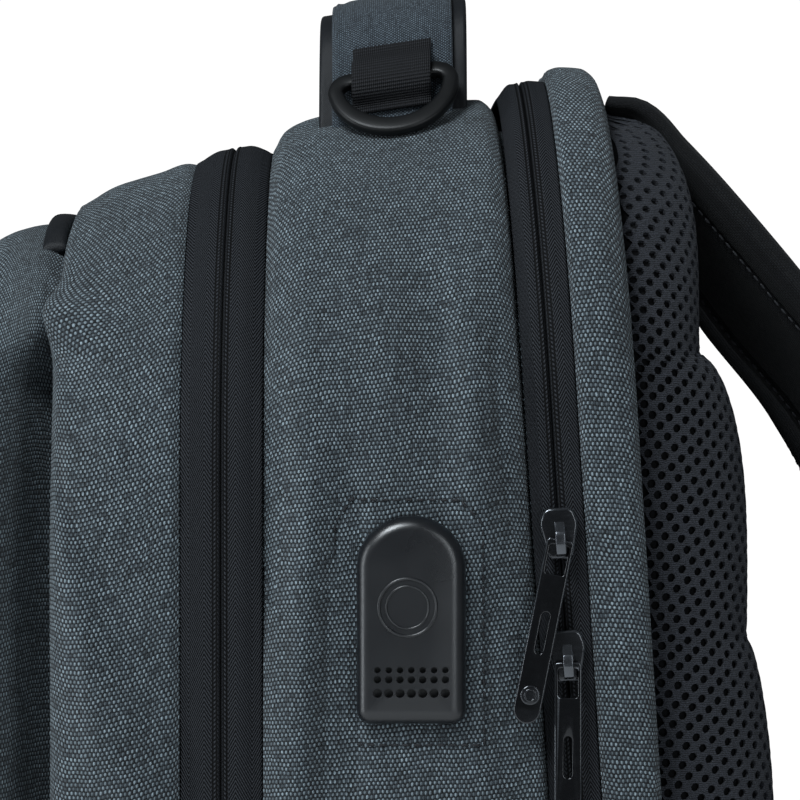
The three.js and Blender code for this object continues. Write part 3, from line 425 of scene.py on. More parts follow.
class Finish:
    """A material's node tree, with short ways to add its nodes."""

    def __init__(self, name):
        self.material = bpy.data.materials.new(name)
        self.material.use_nodes = True
        self.tree = self.material.node_tree
        self.tree.nodes.clear()
        self.shader = self.tree.nodes.new("ShaderNodeBsdfPrincipled")
        output = self.tree.nodes.new("ShaderNodeOutputMaterial")
        self.tree.links.new(self.shader.outputs[0], output.inputs["Surface"])

    def set(self, socket, value):
        if isinstance(value, bpy.types.NodeSocket):
            self.tree.links.new(value, socket)
        else:
            socket.default_value = value

    def node(self, kind, inputs=None, output=0, **settings):
        made = self.tree.nodes.new(kind)
        for name, value in settings.items():
            setattr(made, name, value)
        for name, value in (inputs or {}).items():
            self.set(made.inputs[name], value)
        return made.outputs[output]

    def math(self, operation, *values):
        return self.node("ShaderNodeMath", dict(enumerate(values)), operation=operation)

    def product(self, *values):
        total = values[0]
        for value in values[1:]:
            total = self.math("MULTIPLY", total, value)
        return total

    def sum(self, *values):
        total = values[0]
        for value in values[1:]:
            total = self.math("ADD", total, value)
        return total

    def pair(self, u, v, w=0.0):
        return self.node("ShaderNodeCombineXYZ", {0: u, 1: v, 2: w})

    def cloth_axes(self):
        """The piece's own cloth coordinates in metres, as two numbers."""
        layer = self.node("ShaderNodeUVMap", uv_map="cloth")
        parts = self.tree.nodes.new("ShaderNodeSeparateXYZ")
        self.tree.links.new(layer, parts.inputs[0])
        return parts.outputs[0], parts.outputs[1]

    def place(self):
        """Object coordinates in metres."""
        return self.node("ShaderNodeTexCoord", output=3)

    def noise(self, vector, scale, detail=2.0, roughness=0.5):
        return self.node(
            "ShaderNodeTexNoise",
            {"Vector": vector, "Scale": scale, "Detail": detail, "Roughness": roughness},
        )

    def chance(self, vector):
        return self.node("ShaderNodeTexWhiteNoise", {"Vector": vector})

    def spread(self, value, low, high, to_low=0.0, to_high=1.0):
        """A value from one span to another, held inside it."""
        return self.node(
            "ShaderNodeMapRange",
            {"Value": value, "From Min": low, "From Max": high, "To Min": to_low, "To Max": to_high},
        )

    def blend(self, share, first, second):
        """A colour between two colours."""
        mixed = self.tree.nodes.new("ShaderNodeMix")
        mixed.data_type = "RGBA"
        self.set(mixed.inputs[0], share)
        self.set(mixed.inputs[6], first)
        self.set(mixed.inputs[7], second)
        return mixed.outputs[2]

    def between(self, share, first, second):
        """A number between two numbers."""
        mixed = self.tree.nodes.new("ShaderNodeMix")
        self.set(mixed.inputs[0], share)
        self.set(mixed.inputs[2], first)
        self.set(mixed.inputs[3], second)
        return mixed.outputs[0]

    def bump(self, height, distance, strength=1.0):
        return self.node("ShaderNodeBump", {"Height": height, "Distance": distance, "Strength": strength})

    def done(self, colour, roughness, normal=None, **fixed):
        """Sets the shader's sockets. fixed are numbers that are the same all over the surface."""
        self.set(self.shader.inputs["Base Color"], colour)
        self.set(self.shader.inputs["Roughness"], roughness)
        if normal is not None:
            self.set(self.shader.inputs["Normal"], normal)
        for name, value in fixed.items():
            self.shader.inputs[name.replace("_", " ").title().replace("Ior", "IOR")].default_value = value
        return self.material


def linear(hex_colour, strength=1.0):
    """A colour for a shader from its screen value."""
    parts = [int(hex_colour[i : i + 2], 16) / 255 for i in (0, 2, 4)]
    lit = [part / 12.92 if part <= 0.04045 else ((part + 0.055) / 1.055) ** 2.4 for part in parts]
    return tuple(part * strength for part in lit) + (1.0,)


ROW_PITCH = 1.28
YARN_PITCH = 0.68


def woven_cloth(name, row_mm, yarn_mm, gap, dark_yarns, light_yarns, bump_mm, sheen=0.1):
    """Plain weave: thick light yarns in rows across the piece, over and under thinner dark ones.

    dark_yarns and light_yarns each hold the darkest and the lightest shade that their yarns have.
    """
    f = Finish(name)
    along, across = f.cloth_axes()
    sway = f.math("SUBTRACT", f.noise(f.place(), 130.0, 2.0), 0.5)
    row = f.sum(f.math("DIVIDE", along, row_mm * MM), f.product(sway, 1.3))
    column = f.sum(f.math("DIVIDE", across, yarn_mm * MM), f.product(sway, 1.0))
    row_cell, column_cell = f.math("FLOOR", row), f.math("FLOOR", column)
    row_place = f.product(f.math("SUBTRACT", f.math("FRACT", row), 0.5), 2.0)
    column_place = f.product(f.math("SUBTRACT", f.math("FRACT", column), 0.5), 2.0)

    def round_top(place, fullness):
        return f.math("SQRT", f.math("MAXIMUM", f.math("SUBTRACT", fullness, f.product(place, place)), 0.0))

    over = f.math("COSINE", f.product(f.sum(column, row_cell, -0.5), math.pi))
    under = f.math("COSINE", f.product(f.sum(row, column_cell, -0.5), math.pi))
    light_height = f.sum(f.product(over, 0.42), f.product(round_top(row_place, 0.66), 0.74))
    dark_height = f.sum(f.product(under, -0.42), f.product(round_top(column_place, 0.9), 0.5))
    light_on_top = f.math("GREATER_THAN", light_height, dark_height)
    height = f.math("MAXIMUM", light_height, dark_height)
    light_shade = f.noise(f.pair(f.product(column, 0.11), f.product(row_cell, 5.87), 9.0), 1.0, 4.0, 0.7)
    dark_shade = f.noise(f.pair(f.product(column_cell, 7.31), f.product(row, 0.16), 2.0), 1.0, 4.0, 0.7)
    spot = f.chance(f.pair(f.math("FLOOR", f.product(f.sum(column, row_cell), 0.5)), row_cell, 4.0))
    light_mix = f.sum(f.product(f.spread(light_shade, 0.32, 0.68), 0.62), f.product(spot, 0.5))
    light_yarn = f.blend(light_mix, *light_yarns)
    dark_yarn = f.blend(f.spread(dark_shade, 0.32, 0.68), *dark_yarns)
    yarn = f.blend(light_on_top, dark_yarn, light_yarn)
    broad = f.spread(f.noise(f.place(), 11.0, 3.0, 0.6), 0.3, 0.7, 0.8, 1.12)
    streak = f.noise(f.pair(f.product(column_cell, 0.83), f.product(row, 0.028), 6.0), 1.0, 3.0, 0.6)
    broad = f.product(broad, f.spread(streak, 0.3, 0.7, 0.86, 1.12))
    fuzz = f.spread(f.noise(f.place(), 4200.0, 2.0), 0.25, 0.75, 0.7, 1.15)
    showing = f.product(f.spread(height, 0.22, 0.86), broad, fuzz)
    colour = f.blend(showing, gap, yarn)
    normal = f.bump(f.sum(height, f.product(fuzz, 0.15)), bump_mm * MM)
    roughness = f.spread(spot, 0.0, 1.0, 0.74, 0.94)
    return f.done(
        colour, roughness, normal, specular_ior_level=0.22, sheen_weight=sheen, sheen_roughness=0.5
    )


CHEVRON_APEX = 5.4
CHEVRON_STEP = 1.4


def zipper_tape_finish(name):
    """Black tape: chevrons on both sides of its stitched band, and the fold beside the centre line."""
    f = Finish(name)
    along, across = f.cloth_axes()
    away = f.math("ABSOLUTE", f.math("DIVIDE", across, MM))
    along = f.math("DIVIDE", along, MM)
    from_apex = f.math("PINGPONG", f.math("SUBTRACT", away, CHEVRON_APEX), 5.1)
    line = f.math("SINE", f.product(f.sum(along, f.product(from_apex, 1.78)), 2 * math.pi / CHEVRON_STEP))
    thread = f.math("SINE", f.product(f.sum(away, f.product(line, 0.12)), 2 * math.pi / 0.62))
    chevrons = f.sum(f.product(line, 0.85), f.product(thread, 0.2))
    beat = f.product(f.sum(along, f.product(away, 0.66)), 2 * math.pi / 1.3)
    row = f.math("COSINE", f.product(f.sum(away, -2.2), 2 * math.pi / 1.15))
    holes = f.math("MINIMUM", f.math("COSINE", beat), row)
    in_stitches = f.product(f.spread(away, 1.1, 1.4), f.spread(away, 3.1, 3.5, 1.0, 0.0))
    folded = f.product(f.math("COSINE", f.product(away, 2 * math.pi / 0.5)), 0.45)
    pattern = f.between(in_stitches, chevrons, f.product(holes, 0.95))
    pattern = f.between(f.spread(away, 0.75, 1.15), folded, pattern)
    grain = f.noise(f.place(), 2600.0, 2.0)
    height = f.sum(f.product(pattern, 0.6), f.product(grain, 0.45))
    showing = f.product(f.spread(height, -0.1, 0.55), f.spread(away, 0.35, 0.75, 0.0, 1.0))
    colour = f.blend(showing, linear("030304"), shade_of("tape_colour"))
    return f.done(colour, 0.72, f.bump(height, 0.26 * MM), specular_ior_level=0.14)


def lining_finish():
    f = Finish("dark_lining")
    grain = f.noise(f.place(), 1500.0, 2.0)
    colour = f.blend(grain, linear("08090a"), linear("17181b"))
    return f.done(colour, 0.85, f.bump(grain, 0.1 * MM), specular_ior_level=0.25)


def floor_finish():
    f = Finish("pale_floor")
    grain = f.noise(f.place(), 30.0, 3.0)
    return f.done(f.blend(grain, (0.86, 0.86, 0.86, 1), (0.9, 0.9, 0.9, 1)), 0.75, specular_ior_level=0.2)


class Finishes:
    """The bag's materials, each made once."""

    made = {}

    @classmethod
    def get(cls, name):
        if name not in cls.made:
            cls.made[name] = FINISH_MAKERS[name]()
        return cls.made[name]


def settle(piece, slot, body, *nodes):
    """Hides the frame's parts that a finished piece stands in for and hangs the piece on its body."""
    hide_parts(*nodes)
    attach(piece, body)


def thinned(shares):
    """Every fifth share with both ends, for the side that hardly shows."""
    return np.unique(np.concatenate([shares[::5], shares[-1:]]))


def band_rings(ring_of, rows, front, back, shares, relief, lowest=0.0, wall=WALL):
    """Rings of a band: its face from front to back, then its inside from back to front."""
    face = cloth_rings(ring_of, rows, front, back, shares, FINE, relief, lowest)
    inner = cloth_rings(ring_of, rows, front, back, thinned(shares), FINE, None, lowest, -wall)
    return face + inner[::-1]


# Shares of the way from an end wall's middle to its edge, where its rings lie
END_WALL_SHARES = np.array([0.03, 0.15, 0.3, 0.45, 0.58, 0.7, 0.8, 0.87, 0.93, 0.97])
INNER_WALL_SHARES = np.array([0.9, 0.5, 0.05])


def tray_rings(
    ring_of, rows, front, back, shares, relief, dome, seed, lowest=0.0, wall=WALL, closed_at="front"
):
    """Rings of a tray: its end wall from the middle out, its face to the rim, and back inside."""
    face = cloth_rings(ring_of, rows, front, back, shares, FINE, relief, lowest)
    inner = cloth_rings(ring_of, rows, front, back, thinned(shares), FINE, None, lowest, -wall)
    if closed_at == "back":
        face, inner = face[::-1], inner[::-1]
    inward = np.array([0, wall if closed_at == "front" else -wall, 0])
    end = domed_wall(face[0], dome, END_WALL_SHARES, seed)
    inner[0] = inner[0] + inward
    inner_end = [ring + inward for ring in domed_wall(inner[0] - inward, 0.0, INNER_WALL_SHARES, seed)]
    return end + face + inner[::-1] + inner_end, (0, len(end))


def arch_object(name, rings, material, above):
    """A band open at the bottom: the parts of looped rings above a height, with both cut ends closed."""
    size = len(rings[0])
    chosen = np.array([k for k in range(size) if rings[len(rings) // 3][k, 2] >= above])
    start = next(n for n in range(len(chosen)) if chosen[n] - chosen[n - 1] != 1)
    return strip_object(name, [ring[np.roll(chosen, -start)] for ring in rings], material)


def cradle_object(name, rings, material, below):
    """A band open at the top: the parts of looped rings below a height, with both cut ends closed."""
    size = len(rings[0])
    middle = rings[len(rings) // 3]
    chosen = [k for k in range(-size // 2, size // 2) if middle[k % size, 2] <= below]
    return strip_object(name, [ring[np.array(chosen) % size] for ring in rings], material)


def face_width(rings, k):
    """Width of a looped band's face in metres: its length up to the ring with the greatest depth."""
    line = np.array([ring[k] for ring in rings])
    return lengths_along(line, False)[int(np.argmax(line[:, 1]))] * MM


def strip_object(name, rings, material):
    """A closed strip: looped rings of open lines, with a flat cap at each end of the lines.

    Its cloth coordinate across the band is 0 in the middle of its face.
    """
    count, size = len(rings), len(rings[0])
    points = np.concatenate(rings)
    faces, corners = ring_faces(count, size, True, wrap=False)
    along = lengths_along(rings[count // 3], False) * MM
    across = lengths_along(np.array([ring[size // 3] for ring in rings]), True) * MM
    across -= face_width(rings, size // 3) / 2
    uvs = [[(along[k], across[r]) for r, k in places] for places in corners]
    for k, turned in ((0, True), (size - 1, False)):
        cap = [r * size + k for r in range(count)]
        tip = len(points)
        points = np.concatenate([points, points[cap].mean(axis=0)[None]])
        for r in range(count):
            pair = (cap[r], cap[(r + 1) % count])
            face = (pair[1], pair[0], tip) if turned else (pair[0], pair[1], tip)
            faces.append(face)
            uvs.append([(points[v][1] * MM, points[v][2] * MM) for v in face])
    return mesh_object(name, points, faces, material, uvs)


class NodeTree:
    """A Geometry Nodes group built in short calls, with named inputs and one geometry out."""

    def __init__(self, name):
        self.tree = bpy.data.node_groups.new(name, "GeometryNodeTree")
        self.tree.interface.new_socket("Geometry", in_out="INPUT", socket_type="NodeSocketGeometry")
        self.tree.interface.new_socket("Geometry", in_out="OUTPUT", socket_type="NodeSocketGeometry")
        self.start = self.tree.nodes.new("NodeGroupInput")
        self.end = self.tree.nodes.new("NodeGroupOutput")
        self.identifiers = {}

    def length(self, name, default):
        """A named length in metres that the modifier shows."""
        socket = self.tree.interface.new_socket(name, in_out="INPUT", socket_type="NodeSocketFloat")
        socket.default_value = default
        socket.subtype = "DISTANCE"
        self.identifiers[name] = socket.identifier
        return self.start.outputs[name]

    def node(self, kind, settings=None, **inputs):
        made = self.tree.nodes.new(kind)
        for key, value in (settings or {}).items():
            setattr(made, key, value)
        for key, value in inputs.items():
            place = int(key[1:]) if key[1:].isdigit() else key.replace("_", " ").title()
            slot = made.inputs[place]
            if isinstance(value, bpy.types.NodeSocket):
                self.tree.links.new(value, slot)
            else:
                slot.default_value = value
        return made

    def finish(self, geometry, material):
        """Ends the group: real copies in place of instances, and one material on all of it."""
        real = self.node("GeometryNodeRealizeInstances", geometry=geometry)
        done = self.node("GeometryNodeSetMaterial", geometry=real.outputs[0], material=material)
        self.tree.links.new(done.outputs[0], self.end.inputs[0])

    def plain(self, base, name, **values):
        """The mesh that the group makes from a base object, as a new object without a modifier."""
        modifier = base.modifiers.new("shape", "NODES")
        modifier.node_group = self.tree
        for key, value in values.items():
            modifier[self.identifiers[key.replace("_", " ").title()]] = value
        mesh = evaluated_mesh(base)
        mesh.name = name
        piece = linked(name, mesh)
        base.modifiers.clear()
        bpy.data.objects.remove(base)
        return piece


def path_object(name, lines):
    """Open lines of points in millimetres as one object that holds edges alone."""
    points, edges = [], []
    for line in lines:
        start = len(points)
        points.extend((np.asarray(line) * MM).tolist())
        edges.extend((start + k, start + k + 1) for k in range(len(line) - 1))
    mesh = bpy.data.meshes.new(name)
    mesh.from_pydata(points, edges, [])
    return linked(name, mesh)


def stitch_run(name, lines, material, step=3.4, share=0.74, thread=0.42):
    """Thread stitches along lines: a rounded bead of thread at each step, turned along its line."""
    tree = NodeTree(name)
    pitch = tree.length("Stitch Pitch", step * MM)
    bead_length = tree.length("Stitch Length", step * share * MM)
    thickness = tree.length("Thread Thickness", thread * MM)
    curve = tree.node("GeometryNodeMeshToCurve", mesh=tree.start.outputs["Geometry"])
    spread = tree.node(
        "GeometryNodeCurveToPoints", {"mode": "LENGTH"}, curve=curve.outputs[0], length=pitch
    )
    bead = tree.node("GeometryNodeMeshUVSphere", segments=6, rings=5, radius=0.5)
    turned = tree.node("FunctionNodeAlignEulerToVector", {"axis": "X"}, vector=spread.outputs["Tangent"])
    size = tree.node("ShaderNodeCombineXYZ", x=bead_length, y=thickness, z=thickness)
    copies = tree.node(
        "GeometryNodeInstanceOnPoints", points=spread.outputs["Points"], instance=bead.outputs["Mesh"],
        rotation=turned.outputs[0], scale=size.outputs[0],
    )
    tree.finish(copies.outputs[0], material)
    return tree.plain(path_object(name + "_path", lines), name)


def perforated(base, name, material, hole_radius, wall_depth):
    """Cuts a round hole with a short wall into each cell of a base object."""
    tree = NodeTree(name)
    radius = tree.length("Hole Radius", hole_radius * MM)
    depth = tree.length("Wall Depth", wall_depth * MM)
    place = tree.node("GeometryNodeInputPosition")
    centre = tree.node(
        "GeometryNodeCaptureAttribute", {"domain": "FACE"}, geometry=tree.start.outputs["Geometry"]
    )
    centre.capture_items.new("VECTOR", "Centre")
    tree.tree.links.new(place.outputs[0], centre.inputs["Centre"])
    cell = tree.node("GeometryNodeExtrudeMesh", mesh=centre.outputs[0], offset_scale=0.0, individual=True)
    outward = tree.node(
        "ShaderNodeVectorMath", {"operation": "SUBTRACT"},
        _0=place.outputs[0], _1=centre.outputs["Centre"],
    )
    ray = tree.node("ShaderNodeVectorMath", {"operation": "NORMALIZE"}, _0=outward.outputs[0])
    reach = tree.node("ShaderNodeVectorMath", {"operation": "SCALE"}, _0=ray.outputs[0], scale=radius)
    rim = tree.node(
        "ShaderNodeVectorMath", {"operation": "ADD"}, _0=centre.outputs["Centre"], _1=reach.outputs[0]
    )
    holes = tree.node(
        "GeometryNodeSetPosition", geometry=cell.outputs["Mesh"], selection=cell.outputs["Top"],
        position=rim.outputs[0],
    )
    down = tree.node("ShaderNodeMath", {"operation": "MULTIPLY"}, _0=depth, _1=-1.0)
    wall = tree.node(
        "GeometryNodeExtrudeMesh", mesh=holes.outputs[0], selection=cell.outputs["Top"],
        offset_scale=down.outputs[0], individual=True,
    )
    opened = tree.node(
        "GeometryNodeDeleteGeometry", {"domain": "FACE"}, geometry=wall.outputs["Mesh"],
        selection=wall.outputs["Top"],
    )
    tree.finish(opened.outputs[0], material)
    return tree.plain(base, name)


def through_points(points, count, closed=False):
    """Points spread evenly along a smooth line through the given ones (each may hold more numbers)."""
    known = np.asarray(points, float)
    if closed:
        known = np.concatenate([known[-1:], known, known[:2]])
    else:
        known = np.concatenate([2 * known[:1] - known[1:2], known, 2 * known[-1:] - known[-2:-1]])
    steps = []
    for k in range(1, len(known) - 2):
        t = np.linspace(0, 1, 24, endpoint=False)[:, None]
        p0, p1, p2, p3 = known[k - 1 : k + 3]
        before = max(np.linalg.norm(p1[:3] - p0[:3]), 1e-6)
        here = max(np.linalg.norm(p2[:3] - p1[:3]), 1e-6)
        after = max(np.linalg.norm(p3[:3] - p2[:3]), 1e-6)
        m1 = here * ((p1 - p0) / before + (p2 - p1) / here) / 2
        m2 = here * ((p2 - p1) / here + (p3 - p2) / after) / 2
        steps.append(
            p1 * (2 * t**3 - 3 * t**2 + 1)
            + p2 * (3 * t**2 - 2 * t**3)
            + m1 * (t**3 - 2 * t**2 + t)
            + m2 * (t**3 - t**2)
        )
    line = np.concatenate(steps + [known[-2:-1]])
    length = lengths_along(line[:, :3], False)
    at = np.linspace(0, length[-1], count + 1 if closed else count)
    spread = np.stack([np.interp(at, length, line[:, c]) for c in range(line.shape[1])], axis=1)
    return spread[:-1] if closed else spread


def unit(vectors):
    vectors = np.asarray(vectors, float)
    return vectors / np.maximum(np.linalg.norm(vectors, axis=-1, keepdims=True), 1e-9)


def directions(line, closed=False):
    """Direction of a line of points at each of them."""
    if closed:
        return unit(np.roll(line, -1, axis=0) - np.roll(line, 1, axis=0))
    return unit(np.gradient(line, axis=0))


def swept_object(name, sections, material, closed=False, smooth_shaded=True):
    """A closed form through sections of points, with cloth coordinates round it and along it."""
    count, size = len(sections), len(sections[0])
    points = np.concatenate(sections)
    faces, corners = ring_faces(count, size, closed)
    around = lengths_along(sections[count // 2], True) * MM
    along = lengths_along(np.array([section.mean(axis=0) for section in sections]), closed) * MM
    uvs = [[(around[k], along[r]) for r, k in places] for places in corners]
    if not closed:
        points, fans = end_fans(points, sections)
        faces += fans
        uvs += [[(around[k], along[r])] * 3 for r in (0, count - 1) for k in range(size)]
    return mesh_object(name, points, faces, material, uvs, smooth_shaded)


def ribbon_sections(line, across, outward, halves, profile):
    """Sections along a line: profile gives, for a half width, rows of (how far across, how far out)."""
    sections = []
    for place, side, out, half in zip(line, across, outward, halves):
        shape = profile(half)
        sections.append(place + shape[:, :1] * side + shape[:, 1:] * out)
    return sections


def flat_band_profile(thickness, edge_round=0.7, columns=12):
    """Profile of webbing: two faces and rounded edges."""

    def profile(half):
        share = np.linspace(-1, 1, columns)
        face = np.stack([share * (half - edge_round), np.full(columns, thickness / 2)], axis=1)
        turn = np.linspace(math.pi / 2, -math.pi / 2, 5)[1:-1]
        rim = np.stack(
            [half - edge_round + edge_round * np.cos(turn), thickness / 2 * np.sin(turn)], axis=1
        )
        return np.concatenate([face, rim, face[::-1] * [1, -1], rim[::-1] * [-1, 1]])

    return profile


def make_webbing(name, line, across, halves, profile, node):
    """A band of webbing along a line, with its width along one direction."""
    side_way = np.tile(across, (len(line), 1))
    normal = unit(np.cross(side_way, directions(line)))
    sections = ribbon_sections(line, side_way, normal, halves, profile)
    settle(swept_object(name, sections, Finishes.get("webbing")), "webbing", "bag", node)


def padded_band_profile(thickness_share, edge_band, crown=0.3, columns=34):
    """Profile of a padded strap: crowned faces, a stitched groove inside each edge, and a soft rim."""

    def profile(half, thickness):
        share = np.linspace(-1, 1, columns)
        share = np.sign(share) * np.abs(share) ** 0.82
        reach = half - min(3.0, thickness * 0.3)
        in_from_edge = (1 - np.abs(share)) * reach
        height = thickness / 2 * (1 - crown * np.abs(share) ** 3)
        height -= 0.16 * thickness * np.exp(-(((in_from_edge - edge_band) / 1.5) ** 2))
        height[0] = height[-1] = thickness / 2 * thickness_share
        face = np.stack([share * reach, height], axis=1)
        turn = np.linspace(math.pi / 2, -math.pi / 2, 9)[1:-1]
        rim = np.stack([reach + (half - reach) * np.cos(turn), height[-1] * np.sin(turn)], axis=1)
        return np.concatenate([face, rim, face[::-1] * [1, -1], rim[::-1] * [-1, 1]])

    return profile


# Back pad
PAD_HALF_WIDTH = HALF_WIDTH - 13
PAD_TOP = BODY_TOP - 11
PAD_BOTTOM = 24
PAD_TOP_RADIUS = 90
PAD_LOWER_RADIUS = 128
PAD_CENTRE_TROUGH = 5
PAD_CENTRE_TROUGH_HALF_WIDTH = 26
PAD_CREASE_HEIGHTS = (PAD_BOTTOM, 126, 213, 300, 386, PAD_TOP)
PAD_CREASE_THICKNESS = (12, 29, 30, 30, 21, 5)
PAD_CREST_THICKNESS = (33, 35, 36, 33, 24)

# Shoulder straps: shares of the bag's half width, of the reach behind the back and of the bag's top,
# shares of the strap's own width and thickness, and the twist that lifts its outer edge, in radians
STRAP_HALF_WIDTH = 34
STRAP_THICKNESS = 13
STRAP_REACH = 103.5
STRAP_ROWS = (
    (0.2938, 0.029, 0.9758, 0.86, 0.5, 0.05),
    (0.3, 0.1014, 0.9691, 0.88, 0.7, 0.1),
    (0.3125, 0.1836, 0.94, 0.92, 0.9, 0.2),
    (0.3312, 0.2947, 0.9042, 0.97, 1, 0.28),
    (0.3625, 0.4831, 0.8495, 1, 1, 0.33),
    (0.4125, 0.7246, 0.7832, 1, 1, 0.31),
    (0.4688, 0.8841, 0.7116, 1, 1, 0.2),
    (0.525, 0.9662, 0.6211, 0.97, 1, 0.12),
    (0.575, 1, 0.5305, 0.93, 1, 0.06),
    (0.6188, 0.971, 0.4442, 0.88, 0.95, 0.03),
    (0.6562, 0.8937, 0.3663, 0.78, 0.85, 0),
    (0.6719, 0.8502, 0.3368, 0.62, 0.7, 0),
    (0.6813, 0.8213, 0.32, 0.47, 0.62, 0),
)
STRAP_EDGE_BAND = 9.5

# Grab handle: how far each row stands in from the handle's end, and its share of the full rise
HANDLE_DEPTH_POSITION = 14
HANDLE_HALF_LENGTH = HALF_WIDTH - TOP_RADIUS + 27
HANDLE_RISE = 35.5
HANDLE_HALF_WIDTH = 23.6
HANDLE_COVER_HALF_WIDTH = 19.2
HANDLE_BASE_THICKNESS = 3.6
HANDLE_COVER_THICKNESS = 3.2
HANDLE_TILT = 0.15
GUSSET_TOP_AT_HANDLE = BODY_TOP - 12
HANDLE_LINE = (
    (-2, -0.22), (0, -0.03), (2, 0.125), (6, 0.4375), (11, 0.672), (19, 0.844), (31, 0.9375), (57, 0.984),
    (HANDLE_HALF_LENGTH, 1),
)

# Ring on the handle
RING_TAB_HALF_WIDTH = 12.5
RING_TAB_THICKNESS = 1.6
RING_HALF_WIDTH = 18.1
RING_REACH = 21.6
RING_SECTION_HALF_WIDTH = 2.5
RING_SECTION_HALF_HEIGHT = 1.9
RING_CORNER = 5.0
RING_SQUARENESS = 0.55
RING_TILT = 0.7
RING_PLAY = 0.4


def pad_half_width(z):
    above = np.clip((z - (PAD_TOP - PAD_TOP_RADIUS)) / PAD_TOP_RADIUS, 0, 1)
    low = np.clip((PAD_BOTTOM + PAD_LOWER_RADIUS - z) / PAD_LOWER_RADIUS, 0, 1)
    top_cut = PAD_TOP_RADIUS * (1 - np.sqrt(1 - above**2))
    low_cut = PAD_LOWER_RADIUS * (1 - np.sqrt(1 - low**2))
    return PAD_HALF_WIDTH - top_cut - low_cut


def pad_crest(z):
    """Thickness of the pad at a height, before its edges are rounded off."""
    thick = np.zeros_like(z)
    for channel, crest in enumerate(PAD_CREST_THICKNESS):
        low, high = PAD_CREASE_HEIGHTS[channel : channel + 2]
        share = np.clip((z - low) / (high - low), 0, 1)
        swell = np.sin(math.pi * share) ** 0.45
        crease = PAD_CREASE_THICKNESS[channel] * (1 - share) + PAD_CREASE_THICKNESS[channel + 1] * share
        inside = (z >= low) & (z <= high)
        thick = np.where(inside, crease * (1 - swell) + crest * swell, thick)
    return thick


def pad_thickness(x, z):
    edge = np.abs(x) / pad_half_width(z)
    rounded = np.sqrt(1 - np.clip((edge - 0.86) / 0.14, 0, 1) ** 2)
    trough = PAD_CENTRE_TROUGH * (1 - smooth(np.abs(x), 0, PAD_CENTRE_TROUGH_HALF_WIDTH))
    return np.maximum(2.5, (pad_crest(z) - trough) * np.maximum(rounded, 0.15))


def strap_bed(x, z):
    """Greatest thickness that the straps' roots leave the pad at places across it."""
    line = strap_line(1, 150)
    order = np.argsort(line[:, 2])
    middle, depth, half, thick = (np.interp(z, line[order, 2], line[order, c]) for c in (0, 1, 3, 4))
    room = depth - BACK_FACE - 0.56 * thick - 1
    beside = smooth(np.abs(np.abs(x) - middle), half, half + 9)
    return np.maximum(room + 60 * beside, 0.6)


def pad_point(share, z):
    """A point of the pad's face at a share of its half width (-1 to 1) and a height."""
    x = share * pad_half_width(z)
    thick = np.minimum(pad_thickness(x, z), strap_bed(x, z))
    return np.stack([x, leaned_depth(np.full_like(z, BACK_FACE + SEAM_GAP), z) + thick, z], axis=-1)


PAD_SKIN = 1.5
MESH_STEP_DOWN = (-1.69, -3.31)
MESH_STEP_ASIDE = (3.38, -2.48)


def pad_sections(shares, inset):
    """Cross-sections of the pad from its bottom to its top, with the face an inset below the skin's."""
    spans = zip(PAD_CREASE_HEIGHTS, PAD_CREASE_HEIGHTS[1:])
    heights = np.unique(np.concatenate([low + (high - low) * even_shares(26, 1.8) for low, high in spans]))
    heights = np.clip(heights, PAD_BOTTOM + 0.5, PAD_TOP - 1.5)
    sections = []
    for z in heights:
        face = pad_point(shares, np.full(len(shares), z))
        seat = leaned_depth(BACK_FACE + SEAM_GAP, z)
        face[:, 0] *= 1 - inset / pad_half_width(z)
        face[:, 1] = np.maximum(face[:, 1] - inset, seat + 0.3)
        under = face[::-1].copy()
        under[:, 1] = seat
        sections.append(np.concatenate([face, under]))
    return sections


